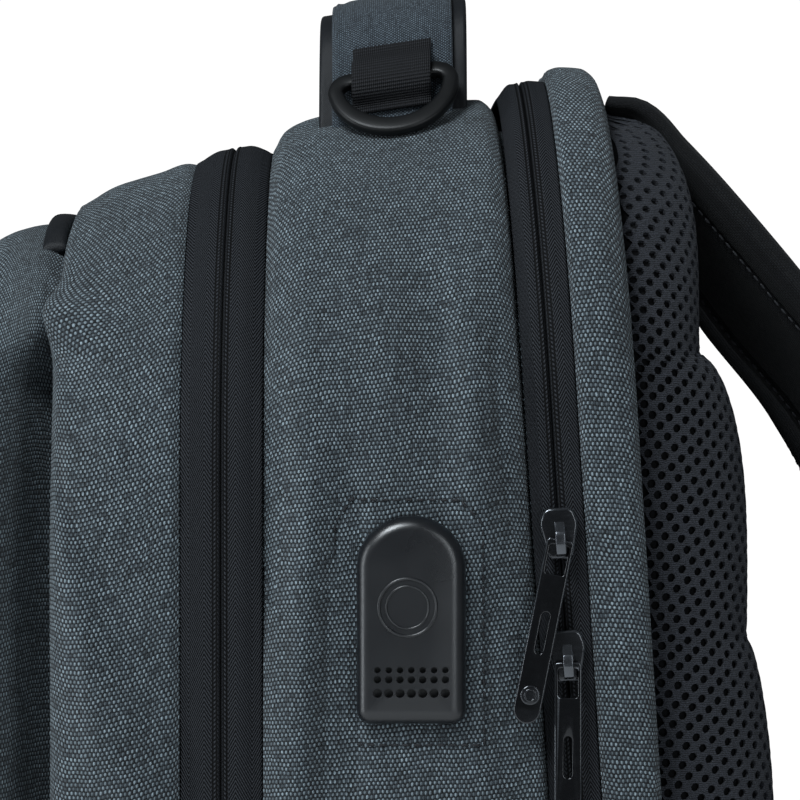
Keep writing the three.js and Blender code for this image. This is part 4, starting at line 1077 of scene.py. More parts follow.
class PadSheet:
    """The pad's face rolled out flat: finds the place of a point given in lengths across and up."""

    def __init__(self):
        self.heights = np.linspace(PAD_BOTTOM + 1, PAD_TOP - 1.5, 500)
        self.up = lengths_along(np.stack([pad_crest(self.heights), self.heights], axis=1), False)
        shares = np.concatenate([np.linspace(0, 0.85, 60), np.linspace(0.852, 1, 60)])
        self.step = 0.5
        self.columns = np.arange(0, 190, self.step)
        self.reach, self.table = [], []
        for z in self.heights:
            half = pad_point(shares, np.full(len(shares), z))
            half = np.concatenate([half, [[half[-1, 0], leaned_depth(BACK_FACE + SEAM_GAP, z), z]]])
            length = lengths_along(half, False)
            self.reach.append(length[-1])
            read = [np.interp(self.columns, length, half[:, c]) for c in (0, 1)]
            self.table.append(np.stack(read, axis=-1))
        self.reach, self.table = np.array(self.reach), np.array(self.table)

    def points(self, flat):
        across, up = np.abs(flat[:, 0]), np.clip(flat[:, 1], 0, self.up[-1])
        row = np.interp(up, self.up, np.arange(len(self.up)))
        column = np.clip(across / self.step, 0, len(self.columns) - 1.001)
        r, c = np.minimum(row.astype(int), len(self.up) - 2), column.astype(int)
        fr, fc = (row - r)[:, None], (column - c)[:, None]
        low = self.table[r, c] * (1 - fc) + self.table[r, c + 1] * fc
        high = self.table[r + 1, c] * (1 - fc) + self.table[r + 1, c + 1] * fc
        x, y = (low * (1 - fr) + high * fr).T
        return np.stack([x * np.sign(flat[:, 0]), y, np.interp(up, self.up, self.heights)], axis=1)

    def cells(self, low, high):
        """Eight-cornered cells of the slanting pattern between two lengths up the sheet."""
        down, aside = np.array(MESH_STEP_DOWN), np.array(MESH_STEP_ASIDE)
        index, flat, faces = {}, [], []
        outline = ((0, 0), (0, 1), (0, 2), (1, 2), (2, 2), (2, 1), (2, 0), (1, 0))
        span = range(-190, 190)
        for i in span:
            for j in span:
                middle = (i + 0.5) * down + (j + 0.5) * aside
                if not (low <= middle[1] < high and 3 <= middle[1] <= self.up[-1] - 2):
                    continue
                if abs(middle[0]) > np.interp(middle[1], self.up, self.reach) - 0.5:
                    continue
                face = []
                for di, dj in outline:
                    key = (2 * i + di, 2 * j + dj)
                    if key not in index:
                        index[key] = len(flat)
                        flat.append((key[0] * down + key[1] * aside) / 2)
                    face.append(index[key])
                faces.append(face)
        return self.points(np.array(flat)), faces


def make_back_pad(hole_radius):
    shares = np.concatenate([-1 + 0.14 * np.linspace(0, 1, 12) ** 1.6, np.linspace(-0.84, 0.84, 50),
                             1 - 0.14 * np.linspace(1, 0, 12) ** 1.6])
    piece = swept_object("back_pad_core", pad_sections(shares, PAD_SKIN), Finishes.get("pad_core"))
    settle(piece, "spacer_mesh", "bag", "back_pad")
    sheet = PadSheet()
    middle = sheet.up[-1] / 2
    for word, low, high in (("lower", 0, middle), ("upper", middle, sheet.up[-1])):
        points, faces = sheet.cells(low, high)
        base = mesh_object("cells", points, faces, Finishes.get("pad_mesh"), smooth_shaded=False)
        skin = perforated(base, f"back_pad_mesh_{word}", Finishes.get("pad_mesh"), hole_radius, PAD_SKIN)
        settle(skin, "spacer_mesh", "bag", "back_pad")


def strap_line(side, count):
    rows = np.array([
        (side * out * HALF_WIDTH, BACK_FACE + behind * STRAP_REACH, up * BODY_TOP,
         wide * STRAP_HALF_WIDTH, thick * STRAP_THICKNESS, side * twist)
        for out, behind, up, wide, thick, twist in STRAP_ROWS
    ])
    return through_points(rows, count)


def make_shoulder_straps(pitch, thread):
    shape = padded_band_profile(0.5, STRAP_EDGE_BAND)
    for side, word in ((1, "right"), (-1, "left")):
        line = strap_line(side, 150)
        along = directions(line[:, :3])
        away = unit(np.cross(np.array([1.0, 0, 0]), along))
        away *= np.sign(away[:, 1:2])
        across = np.cos(line[:, 5:]) * np.array([1.0, 0, 0]) + np.sin(line[:, 5:]) * away
        across = unit(across - (across * along).sum(axis=1)[:, None] * along)
        out = np.cross(along, across)
        sections = []
        for place, width_way, out_way in zip(line, across, out):
            profile = shape(place[3], place[4])
            sections.append(place[:3] + profile[:, :1] * width_way + profile[:, 1:] * out_way)
        piece = swept_object(f"shoulder_strap_{word}_padding", sections, Finishes.get("strap_cloth"))
        settle(piece, "strap_cloth", "bag", f"shoulder_strap_{word}")
        runs = []
        for edge in (-1, 1):
            for face in (-1, 1):
                inside = line[:, 3:4] - STRAP_EDGE_BAND - 1.5
                height = line[:, 4:5] * 0.46
                runs.append((line[:, :3] + edge * inside * across + face * height * out)[4:-4])
        stitches = stitch_run(
            f"shoulder_strap_{word}_stitches", runs, Finishes.get("webbing_thread"), pitch, thread=thread
        )
        settle(stitches, "strap_cloth", "bag", f"shoulder_strap_{word}")


def handle_frame(count):
    """Middle line of the handle's base, with its directions across and outward."""
    right = [
        (HANDLE_HALF_LENGTH - inward, HANDLE_DEPTH_POSITION, GUSSET_TOP_AT_HANDLE + rise * HANDLE_RISE)
        for inward, rise in HANDLE_LINE
    ]
    left = [(-x, y, z) for x, y, z in right[-2::-1]]
    line = through_points(right + left, count)
    across = np.tile([0, math.cos(HANDLE_TILT), math.sin(HANDLE_TILT)], (count, 1))
    return line, across, unit(np.cross(across, directions(line)))


def handle_layer(name, finish, lift, half_width, thickness, shape):
    """One layer of the handle: a padded band that lies a lift above the handle's middle line."""
    line, across, out = handle_frame(150)
    halves = [half_width] * len(line)
    sections = ribbon_sections(line + lift * out, across, out, halves, lambda half: shape(half, thickness))
    return swept_object(name, sections, Finishes.get(finish))


def make_grab_handle():
    piece = handle_layer(
        "grab_handle_binding", "handle_binding", 0, HANDLE_HALF_WIDTH, HANDLE_BASE_THICKNESS,
        padded_band_profile(0.9, 60, crown=0.12),
    )
    settle(piece, "strap_cloth", "bag", "grab_handle_base")
    piece = handle_layer(
        "grab_handle_face_cloth", "handle_cloth",
        (HANDLE_BASE_THICKNESS + HANDLE_COVER_THICKNESS) / 2 + SEAM_GAP,
        HANDLE_COVER_HALF_WIDTH, HANDLE_COVER_THICKNESS, padded_band_profile(0.35, 2.6, crown=0.18),
    )
    settle(piece, "cloth", "bag", "grab_handle_cover")


def ring_frame():
    """Directions across, down and out of the handle's face where the ring hangs, and the face's place."""
    top = np.array([HANDLE_HALF_LENGTH - 5, HANDLE_DEPTH_POSITION, GUSSET_TOP_AT_HANDLE + 12.5])
    low = np.array([HANDLE_HALF_LENGTH - 1.3, HANDLE_DEPTH_POSITION, GUSSET_TOP_AT_HANDLE + 2])
    down = unit(low - top)
    across = np.array([0, math.cos(HANDLE_TILT), math.sin(HANDLE_TILT)])
    out = unit(np.cross(across, down))
    out = out if out[0] > 0 else -out
    face = (top + low) / 2 + out * (HANDLE_BASE_THICKNESS / 2 + SEAM_GAP + HANDLE_COVER_THICKNESS)
    return across, down, out, face


BAR_SWEEP = 0.84 * math.hypot(RING_SECTION_HALF_WIDTH, RING_SECTION_HALF_HEIGHT)
BAR_LIFT = BAR_SWEEP + RING_PLAY


def make_ring_tab():
    across, down, out, face = ring_frame()
    over = BAR_LIFT + BAR_SWEEP + RING_PLAY + RING_TAB_THICKNESS / 2
    flat = SEAM_GAP + RING_TAB_THICKNESS / 2
    rows = (
        (-11.5, flat), (-8, flat + 0.4), (-4.8, over * 0.8), (-2.2, over),
        (2.2, over), (4.8, over * 0.8), (8, flat + 0.4), (10.5, flat),
    )
    known = [face + down * drop + out * lift for drop, lift in rows]
    line = through_points(known, 90)
    halves = [RING_TAB_HALF_WIDTH] * len(line)
    make_webbing("ring_tab_webbing", line, across, halves, flat_band_profile(RING_TAB_THICKNESS), "ring_tab")


def make_d_ring():
    across, _, out, face = ring_frame()
    centre = face + out * BAR_LIFT
    down = np.array([math.sin(RING_TILT), 0, -math.cos(RING_TILT)])
    down = unit(down - (down @ across) * across)
    normal = unit(np.cross(across, down))
    corner = RING_CORNER
    places = [(share * (RING_HALF_WIDTH - corner), 0) for share in (-0.9, -0.45, 0, 0.45, 0.9)]
    turns = np.linspace(0.1, 1, 5) * math.pi / 2
    bend = [(RING_HALF_WIDTH - corner + corner * math.sin(t), corner * (1 - math.cos(t))) for t in turns]
    places += bend
    start = RING_REACH - RING_HALF_WIDTH
    bow = np.linspace(0, math.pi, 21)[1:-1]
    places += [(RING_HALF_WIDTH * math.cos(t), start + RING_HALF_WIDTH * math.sin(t)) for t in bow]
    places += [(-x, drop) for x, drop in reversed(bend)]
    line = through_points([centre + across * x + down * drop for x, drop in places], 160, closed=True)
    sideways = unit(np.cross(directions(line, True), normal))
    turn = np.arange(20) / 20 * 2 * math.pi
    round_x, round_y = (
        np.sign(wave) * np.abs(wave) ** RING_SQUARENESS * half
        for wave, half in ((np.cos(turn), RING_SECTION_HALF_WIDTH), (np.sin(turn), RING_SECTION_HALF_HEIGHT))
    )
    wider = 1 + 0.2 * smooth((line - centre) @ down, 6, RING_REACH)
    sections = [
        place + round_x[:, None] * grown * way + round_y[:, None] * normal
        for place, way, grown in zip(line, sideways, wider)
    ]
    piece = swept_object("d_ring_moulding", sections, Finishes.get("hard_plastic"), closed=True)
    settle(piece, "hard_plastic", "ring", "d_ring")


def flat_plate(name, outlines, thickness, rim, material, rim_steps=2):
    """A flat plate from closed outlines (the first is its edge, the rest are holes) with rounded rims."""
    curve = bpy.data.curves.new(name, "CURVE")
    curve.dimensions = "2D"
    curve.fill_mode = "BOTH"
    curve.extrude = (thickness / 2 - rim) * MM
    curve.bevel_depth = rim * MM
    curve.bevel_resolution = rim_steps
    curve.offset = -rim * MM
    for outline_points in outlines:
        spline = curve.splines.new("POLY")
        spline.points.add(len(outline_points) - 1)
        spots = np.asarray(outline_points, float) * MM
        flat = np.column_stack([spots, np.zeros(len(spots)), np.ones(len(spots))])
        spline.points.foreach_set("co", flat.ravel())
        spline.use_cyclic_u = True
    maker = linked(name, curve)
    bpy.context.view_layer.update()
    mesh = evaluated_mesh(maker)
    bpy.data.objects.remove(maker)
    return finished_mesh(name, mesh, material)


def finished_mesh(name, mesh, material, sharp_angle=35):
    """A mesh made an object: doubles merged, faces outward, smooth with sharp edges kept."""
    work = bmesh.new()
    work.from_mesh(mesh)
    bmesh.ops.remove_doubles(work, verts=work.verts, dist=1e-6)
    bmesh.ops.recalc_face_normals(work, faces=work.faces)
    work.to_mesh(mesh)
    work.free()
    mesh.materials.clear()
    mesh.materials.append(material)
    mesh.polygons.foreach_set("material_index", [0] * len(mesh.polygons))
    mesh.polygons.foreach_set("use_smooth", [True] * len(mesh.polygons))
    mesh.set_sharp_from_angle(angle=math.radians(sharp_angle))
    mesh.name = name
    return linked(name, mesh)


def placed(piece, matrix):
    """Moves a piece's mesh, not its object; matrix is in millimetres."""
    matrix = Matrix(matrix)
    matrix.translation *= MM
    piece.data.transform(matrix)
    if matrix.determinant() < 0:
        piece.data.flip_normals()
    return piece


def joined(name, pieces):
    """One object from several, each a mesh at the origin."""
    work = bmesh.new()
    for piece in pieces:
        work.from_mesh(piece.data)
    mesh = pieces[0].data.copy()
    work.to_mesh(mesh)
    work.free()
    for piece in pieces:
        bpy.data.objects.remove(piece)
    mesh.name = name
    return linked(name, mesh)


def frame_matrix(x_way, y_way, z_way, place):
    rows = [[x_way[k], y_way[k], z_way[k], place[k]] for k in range(3)]
    return rows + [[0, 0, 0, 1]]


def arc(centre, radius, start, end, steps, squash=1.0):
    turns = np.linspace(start, end, steps)
    return [(centre[0] + radius * math.cos(t), centre[1] + radius * squash * math.sin(t)) for t in turns]


def rounded_box_outline(x0, y0, x1, y1, radius, steps=6):
    corners = (
        (x1 - radius, y0 + radius, -0.5), (x1 - radius, y1 - radius, 0),
        (x0 + radius, y1 - radius, 0.5), (x0 + radius, y0 + radius, 1),
    )
    line = []
    for x, y, quarter in corners:
        line += arc((x, y), radius, quarter * math.pi, (quarter + 0.5) * math.pi, steps)
    return line


# Port cover on the side
COVER_HALF_WIDTH = 16
COVER_HEIGHT = 61
COVER_CENTRE = (19.5, 309)
COVER_THICKNESS = 7
COVER_EDGE_ROUND = 4.4
COVER_HOLE_PITCH = 3.3
COVER_HOLE_ROWS = ((9.4, 1.35), (13.4, 1.1), (16.2, 0.94))
COVER_HOLE_DEPTH = 3.0
COVER_SEAT = -9.0
COVER_STAND_OUT = 3.5
COVER_BASE_ROUND = 4
COVER_LEAST_ROUND = 1.5
# How far in from the edge the cover's crowned face is measured, and how far it stands over its rim
COVER_CROWN = ((6.2, 0.12), (8.2, 0.27), (10.7, 0.38))
# The rings round the plain place: radius, half width and half height of each
COVER_RINGS = ((8.4, 0.55, 0.62), (8.4 - 2.2, 0.4, 0.5))
COVER_RING_PLACE = (-1.1, 34.5)


def cover_outline(inward):
    """Edge of the port cover's arch, moved inward; its base is at 0."""
    half = COVER_HALF_WIDTH - inward
    low = max(COVER_BASE_ROUND - inward, COVER_LEAST_ROUND)
    line = arc((half - low, inward + low), low, -math.pi / 2, 0, 8)
    arch = COVER_HALF_WIDTH * 0.96 - inward
    start = COVER_HEIGHT - inward - arch
    line += [(half, inward + low + share * (start - inward - low)) for share in np.linspace(0.08, 0.92, 12)]
    line += [(half * math.cos(t), start + arch * math.sin(t)) for t in np.linspace(0, math.pi, 49)]
    line += [(-half, start + share * (inward + low - start)) for share in np.linspace(0.08, 0.92, 12)]
    line += arc((-half + low, inward + low), low, math.pi, 1.5 * math.pi, 8)
    return np.array(line)


def make_port_cover():
    face = COVER_THICKNESS
    profile = [(0.0, COVER_SEAT), (0.0, 1.0), (0.0, face - COVER_EDGE_ROUND - 0.6)]
    for turn in np.linspace(0, math.pi / 2, 9):
        inward = COVER_EDGE_ROUND * (1 - math.cos(turn))
        profile.append((inward, face - COVER_EDGE_ROUND * (1 - math.sin(turn))))
    profile += [(inward, face + rise) for inward, rise in COVER_CROWN]
    sections = []
    for inward, height in profile:
        edge = cover_outline(inward)
        sections.append(np.column_stack([np.full(len(edge), height), edge]))
    rubber = Finishes.get("port_rubber")
    body = swept_object("port_cover_body", sections, rubber)
    holes = []
    for up, radius in COVER_HOLE_ROWS:
        for column in range(-3, 4):
            centre = (column * COVER_HOLE_PITCH, up)
            edge = np.array(arc(centre, radius, 0, 2 * math.pi, 17)[:-1])
            ends = (face + 2, face - COVER_HOLE_DEPTH)
            tube = [np.column_stack([np.full(len(edge), depth), edge]) for depth in ends]
            holes.append(swept_object("hole", tube, rubber))
    cutter = joined("cover_holes", holes)
    cut = body.modifiers.new("holes", "BOOLEAN")
    cut.operation = "DIFFERENCE"
    cut.object = cutter
    cut.solver = "EXACT"
    mesh = evaluated_mesh(body)
    bpy.data.objects.remove(body)
    bpy.data.objects.remove(cutter)
    parts = [finished_mesh("port_cover_cut", mesh, rubber, 28)]
    for radius, width, height in COVER_RINGS:
        middle = np.array([face + 0.2, *COVER_RING_PLACE])
        around = [(0, math.cos(t), math.sin(t)) for t in np.arange(72) / 72 * 2 * math.pi]
        line = middle + radius * np.array(around)
        outward = unit(line - middle)
        turn = np.arange(10) / 10 * 2 * math.pi
        ring = [
            place + width * np.cos(turn)[:, None] * way + height * np.sin(turn)[:, None] * (1.0, 0, 0)
            for place, way in zip(line, outward)
        ]
        parts.append(swept_object("plain_ring", ring, rubber, closed=True))
    piece = joined("port_cover_rubber", parts)
    foot = (HALF_WIDTH + COVER_STAND_OUT, COVER_CENTRE[0], COVER_CENTRE[1] - COVER_HEIGHT / 2)
    placed(piece, Matrix.Translation(foot))
    settle(piece, "port_rubber", "bag", "port_cover")


# Slider and pull of a zip, in a frame whose x runs across the tape, y up along it and z out of it
SLIDER_LENGTH = 15
SLIDER_HALF_WIDTH = 5.6
SLIDER_THICKNESS = 3.4
BRIDGE_HEIGHT = 5.2
BRIDGE_THICKNESS = 1.5
BRIDGE_HALF_WIDTH = 1.5
BRIDGE_TOP_END = 0.5
BRIDGE_FOOT = 4
BRIDGE_PLAY = 1.3
PULL_LENGTH = 54
PULL_HALF_WIDTH = 4
PULL_THICKNESS = 1.8
PULL_PLUMB_TURN = -0.063
PULL_ASIDE_TURN = -0.262
PULL_REST_LIFT = -0.06
PULL_EYE_LENGTH = 9.5
PULL_BOSS_RADIUS = 2.9
PULL_BOSS_INWARD = 8.5
PULL_RIM_RADII = (1.9, 1.35)
PULL_SLOT_START = 22
PULL_SLOT_HALF_WIDTH = 1.15
PULL_SLOT_LENGTH = 10
PULL_AXIS_UP = SLIDER_THICKNESS + (BRIDGE_HEIGHT - BRIDGE_THICKNESS) / 2
PULL_AXIS_ALONG = -SLIDER_LENGTH / 2 + 5
UPPER_SLIDER_HEIGHT = 334
MAIN_UPPER_SLIDER_HEIGHT = 300
SLIDER_SPACING = 36


def side_frame(side, depth, inset, z):
    """Frame on a zip's outer face at a height on one side of the bag, as a matrix in millimetres."""
    slope = float(leaned_depth(depth, z - 1) - leaned_depth(depth, z + 1)) / 2
    up = unit(np.array([0, -slope, 1.0]))
    out = np.array([side, 0.0, 0.0])
    swollen = HALF_WIDTH - inset + BELLY * math.sin(math.pi * float(smooth(z, inset, BODY_TOP)))
    place = (side * (swollen + SEAM_GAP), float(leaned_depth(depth, z)), z)
    return Matrix(frame_matrix(np.cross(up, out), up, out, place))


def slider_parts(metal):
    half = SLIDER_LENGTH / 2
    right = [
        (SLIDER_HALF_WIDTH * 0.5, -half), (SLIDER_HALF_WIDTH * 0.66, -half + 1),
        (SLIDER_HALF_WIDTH * 0.99, half * 0.3), (SLIDER_HALF_WIDTH * 0.97, half * 0.5),
        (SLIDER_HALF_WIDTH * 0.8, half * 0.86), (SLIDER_HALF_WIDTH * 0.55, half),
    ]
    left = [(-x, y) for x, y in reversed(right)]
    base = left[-1:] + right + left[:-1]
    plate = placed(flat_plate("plate", [base], SLIDER_THICKNESS + 3, 0.8, metal, 3),
                   Matrix.Translation((0, 0, (SLIDER_THICKNESS - 3) / 2)))
    rim = BRIDGE_THICKNESS * 1.2
    bridge = [
        (-half + 1, -1), (-half + 1, BRIDGE_HEIGHT * 0.55), (-half + 1.8, BRIDGE_HEIGHT * 0.85),
        (-half + 4, BRIDGE_HEIGHT), (BRIDGE_TOP_END - 1, BRIDGE_HEIGHT),
        (BRIDGE_TOP_END + 0.3, BRIDGE_HEIGHT - 0.5), (BRIDGE_FOOT, -1),
        (BRIDGE_FOOT - BRIDGE_THICKNESS * 1.4, -1),
        (BRIDGE_TOP_END - 0.6, BRIDGE_HEIGHT - BRIDGE_THICKNESS),
        (-half + 4.6, BRIDGE_HEIGHT - BRIDGE_THICKNESS),
        (-half + 1 + rim, BRIDGE_HEIGHT * 0.4), (-half + 1 + rim, -1),
    ]
    arch = flat_plate("bridge", [bridge], 2 * BRIDGE_HALF_WIDTH, 0.35, metal)
    placed(arch, frame_matrix((0, 1, 0), (0, 0, 1), (1, 0, 0), (0, 0, SLIDER_THICKNESS)))
    return [plate, arch]


def pull_parts(metal):
    """The pull hangs along its own -y from its pivot."""
    edge = PULL_THICKNESS / 2
    side = [(PULL_HALF_WIDTH, edge - 0.7), (PULL_HALF_WIDTH, -PULL_LENGTH + 5)]
    tip = arc((0, -PULL_LENGTH + PULL_HALF_WIDTH * 1.1), PULL_HALF_WIDTH, 0, -math.pi, 15, 1.1)
    body = [(-PULL_HALF_WIDTH + 0.7, edge), (PULL_HALF_WIDTH - 0.7, edge)] + side + tip
    body += [(-PULL_HALF_WIDTH, -PULL_LENGTH + 5), (-PULL_HALF_WIDTH, edge - 0.7)]
    eye_half = BRIDGE_HALF_WIDTH + BRIDGE_PLAY
    eye = rounded_box_outline(-eye_half, -PULL_EYE_LENGTH, eye_half, -edge, 0.8)
    slot = arc((0, -PULL_SLOT_START), PULL_SLOT_HALF_WIDTH, 0, math.pi, 7)
    slot_end = (0, -PULL_SLOT_START - PULL_SLOT_LENGTH)
    slot += arc(slot_end, PULL_SLOT_HALF_WIDTH, math.pi, 2 * math.pi, 7)
    plate = flat_plate("pull", [body, eye, slot], PULL_THICKNESS, 0.45, metal, 3)
    boss_place = (0, -PULL_LENGTH + PULL_BOSS_INWARD)

    def circle(radius, count):
        return arc(boss_place, radius, 0, 2 * math.pi, count)[:-1]

    boss = flat_plate("boss", [circle(PULL_BOSS_RADIUS, 33)], PULL_THICKNESS + 0.9, 0.4, metal)
    rim_lines = [circle(radius, 25) for radius in PULL_RIM_RADII]
    rim = flat_plate("rim", rim_lines, PULL_THICKNESS + 1.5, 0.2, metal)
    return [plate, boss, rim]


def make_zipper_pulls():
    metal = Finishes.get("zip_metal")
    laptop_middle = (MAIN_GUSSET_BACK + LAPTOP_ZIPPER_BACK) / 2
    main_middle = (FRONT_COMPARTMENT_BACK + MAIN_GUSSET_FRONT) / 2
    upper, main_upper = UPPER_SLIDER_HEIGHT, MAIN_UPPER_SLIDER_HEIGHT
    for name, side, depth, inset, height, turn, lift in (
        ("laptop_zipper_upper", 1, laptop_middle, 3, upper, PULL_ASIDE_TURN, PULL_REST_LIFT),
        ("laptop_zipper_lower", 1, laptop_middle, 3, upper - SLIDER_SPACING, PULL_PLUMB_TURN, 0),
        ("main_zipper_upper", -1, main_middle, 2.8, main_upper, PULL_ASIDE_TURN, PULL_REST_LIFT),
        ("main_zipper_lower", -1, main_middle, 2.8, main_upper - SLIDER_SPACING, 0, 0),
    ):
        frame_here = side_frame(side, depth, inset, height)
        slider = placed(joined(f"{name}_slider_metal", slider_parts(metal)), frame_here)
        settle(slider, "zip_metal", "bag", f"{name}_slider")
        pivot = Matrix.Translation((0, PULL_AXIS_ALONG, PULL_AXIS_UP))
        pose = frame_here @ pivot @ Matrix.Rotation(turn, 4, "Z") @ Matrix.Rotation(lift, 4, "X")
        pull = placed(joined(f"{name}_pull_metal", pull_parts(metal)), pose)
        settle(pull, "zip_metal", f"{name}_pull_body", f"{name}_pull")


# Adjusters, webbing and anchors of the straps
WEBBING_HALF_WIDTH = 12.5
WEBBING_THICKNESS = 1.6
ADJUSTER_HALF_WIDTH = 16
ADJUSTER_THICKNESS = 4
ADJUSTER_BAR = 3.6
ADJUSTER_SLOT = 6
ADJUSTER_TOP_BAR_START = -ADJUSTER_BAR - 1
ADJUSTER_LOW_BAR_START = ADJUSTER_TOP_BAR_START + 2 * (ADJUSTER_BAR + ADJUSTER_SLOT)
ADJUSTER_LOW_BAR_MIDDLE = ADJUSTER_LOW_BAR_START + ADJUSTER_BAR / 2
ANCHOR_ROOT_HALF_WIDTH = 15.5
ANCHOR_TIP_HALF_WIDTH = 13.2
ANCHOR_THICKNESS = 2.2


def strap_end_frame(side):
    """Directions across, down and out of the adjuster at a strap's end, and its place."""
    def at(row):
        out, behind, up = row[:3]
        return np.array([side * out * HALF_WIDTH, BACK_FACE + behind * STRAP_REACH, up * BODY_TOP])

    end = at(STRAP_ROWS[-1])
    down = unit(end - at(STRAP_ROWS[-3]))
    across = unit(np.array([1.0, 0, 0]) - down[0] * down)
    return across, down, np.cross(across, down), end


def make_strap_adjusters():
    plastic = Finishes.get("hard_plastic")
    for side, word in ((1, "right"), (-1, "left")):
        across, down, out, end = strap_end_frame(side)
        window = ADJUSTER_HALF_WIDTH - 2.6
        outlines = [rounded_box_outline(-ADJUSTER_HALF_WIDTH, ADJUSTER_TOP_BAR_START, ADJUSTER_HALF_WIDTH,
                                        ADJUSTER_LOW_BAR_START + ADJUSTER_BAR, 1.6)]
        first_slot = ADJUSTER_TOP_BAR_START + ADJUSTER_BAR
        for start in (first_slot, first_slot + ADJUSTER_BAR + ADJUSTER_SLOT):
            outlines.append(rounded_box_outline(-window, start, window, start + ADJUSTER_SLOT, 0.8))
        piece = flat_plate(f"strap_adjuster_{word}_moulding", outlines, ADJUSTER_THICKNESS, 1.0, plastic, 4)
        placed(piece, frame_matrix(across, down, out, end))
        settle(piece, "hard_plastic", "bag", f"strap_adjuster_{word}")


def anchor_place(side):
    return np.array([side * (HALF_WIDTH - 15), float(leaned_depth(BACK_FACE, 58)) + 4, 58.0])


def make_strap_webbing():
    for side, word in ((1, "right"), (-1, "left")):
        across, down, out, end = strap_end_frame(side)
        turn = math.hypot(ADJUSTER_THICKNESS, ADJUSTER_BAR) / 2 + 0.4 + WEBBING_THICKNESS / 2
        anchor = anchor_place(side)
        known = [anchor + (0, 12, 8), anchor + (-3 * side, 21, 22)]
        known += [end + down * (ADJUSTER_LOW_BAR_MIDDLE + drop) - out * turn for drop in (52, 20)]
        for angle in np.linspace(0, math.pi, 7):
            drop = ADJUSTER_LOW_BAR_MIDDLE - turn * math.sin(angle)
            known.append(end + down * drop - out * turn * math.cos(angle))
        known += [
            end + down * (ADJUSTER_LOW_BAR_MIDDLE + drop) + out * lift
            for drop, lift in ((20, turn + 1.5), (46, turn + 3))
        ]
        line = through_points(known, 190)
        halves, profile = [WEBBING_HALF_WIDTH] * len(line), flat_band_profile(WEBBING_THICKNESS)
        node = f"strap_webbing_{word}"
        make_webbing(f"{node}_weave", line, across, halves, profile, node)


def make_strap_anchors():
    for side, word in ((1, "right"), (-1, "left")):
        place = anchor_place(side)
        tip, root = place + (-1.5 * side, 19, 14), place + (4 * side, -12, -6)
        line = np.linspace(root, tip, 24) + np.array([0, 1.2, -2.2])
        across = unit(np.array([1, 0, side * 0.15]))
        halves = np.linspace(ANCHOR_ROOT_HALF_WIDTH, ANCHOR_TIP_HALF_WIDTH, len(line))
        node = f"strap_anchor_{word}"
        make_webbing(f"{node}_fold", line, across, halves, flat_band_profile(ANCHOR_THICKNESS, 1.0), node)


def strap_cloth_finish():
    """Fine black weave of the straps."""
    return woven_cloth(
        "strap_cloth", 0.8, 0.6, linear("040405"), (linear("070708"), linear("101113")),
        (linear("0b0c0d"), linear("1d1f22")), 0.2, 0.03,
    )


def webbing_finish():
    """Ribbed narrow webbing: ridges across it, each a row of small loops."""
    f = Finish("webbing")
    u, v = f.cloth_axes()
    rising = f.math("SINE", f.product(f.sum(u, f.product(v, 0.62)), 2 * math.pi / (1.25 * MM)))
    falling = f.math("SINE", f.product(f.sum(u, f.product(v, -0.62)), 2 * math.pi / (1.25 * MM)))
    height = f.sum(f.product(rising, falling, 0.75), f.product(f.noise(f.place(), 2400.0), 0.35))
    colour = f.blend(f.spread(height, -0.3, 0.8), linear("050506"), linear("26272b"))
    return f.done(colour, 0.68, f.bump(height, 0.3 * MM), specular_ior_level=0.28)


def binding_finish():
    """Smooth dark binding of the handle, with a fine diagonal grain."""
    f = Finish("handle_binding")
    u, v = f.cloth_axes()
    grain = f.math("SINE", f.product(f.sum(u, v), 2 * math.pi / (0.62 * MM)))
    height = f.sum(f.product(grain, 0.4), f.product(f.noise(f.place(), 900.0, 3.0), 0.7))
    colour = f.blend(f.spread(height, 0.0, 0.9), linear("0b0c0f"), linear("1d2024"))
    return f.done(colour, 0.5, f.bump(height, 0.08 * MM), specular_ior_level=0.3)


def moulded_finish(name, dark, light, roughness, grain_mm, bump_mm, **fixed):
    """Moulded plastic or rubber: fine grain, faint cloudiness and a little uneven gloss."""
    f = Finish(name)
    grain = f.noise(f.place(), 1.0 / (grain_mm * MM), 3.0, 0.6)
    cloud = f.noise(f.place(), 55.0, 3.0)
    colour = f.blend(f.product(f.sum(grain, cloud), 0.5), linear(dark), linear(light))
    rough = f.spread(cloud, 0.25, 0.75, roughness - 0.05, roughness + 0.06)
    return f.done(colour, rough, f.bump(grain, bump_mm * MM), **fixed)


def zip_metal_finish():
    """Black plated metal: glossy, with a painted highlight of light grey along its sharp edges, and fine
    scratches.
    """
    f = Finish("zip_metal")
    edge_pointiness = f.node("ShaderNodeNewGeometry", output=7)
    stretched = f.node("ShaderNodeMapping", {"Vector": f.place(), "Scale": (1.0, 0.12, 0.5)})
    scratch = f.noise(stretched, 1800.0, 4.0, 0.7)
    # Painted highlight: the colour turns light grey where the pointiness marks a sharp edge.
    edge = f.spread(edge_pointiness, 0.515, 0.59, 0.0, 0.55)
    colour = f.blend(edge, linear("1b1c1f"), linear("85898f"))
    rough = f.spread(scratch, 0.3, 0.7, 0.14, 0.26)
    return f.done(
        colour, rough, f.bump(scratch, 0.02 * MM), metallic=0.85, coat_weight=0.7, coat_roughness=0.06
    )


def pad_core_finish():
    f = Finish("pad_core")
    grain = f.noise(f.place(), 900.0, 3.0)
    colour = f.blend(grain, linear("050506"), linear("101114"))
    return f.done(colour, 0.9, f.bump(grain, 0.2 * MM), specular_ior_level=0.2)


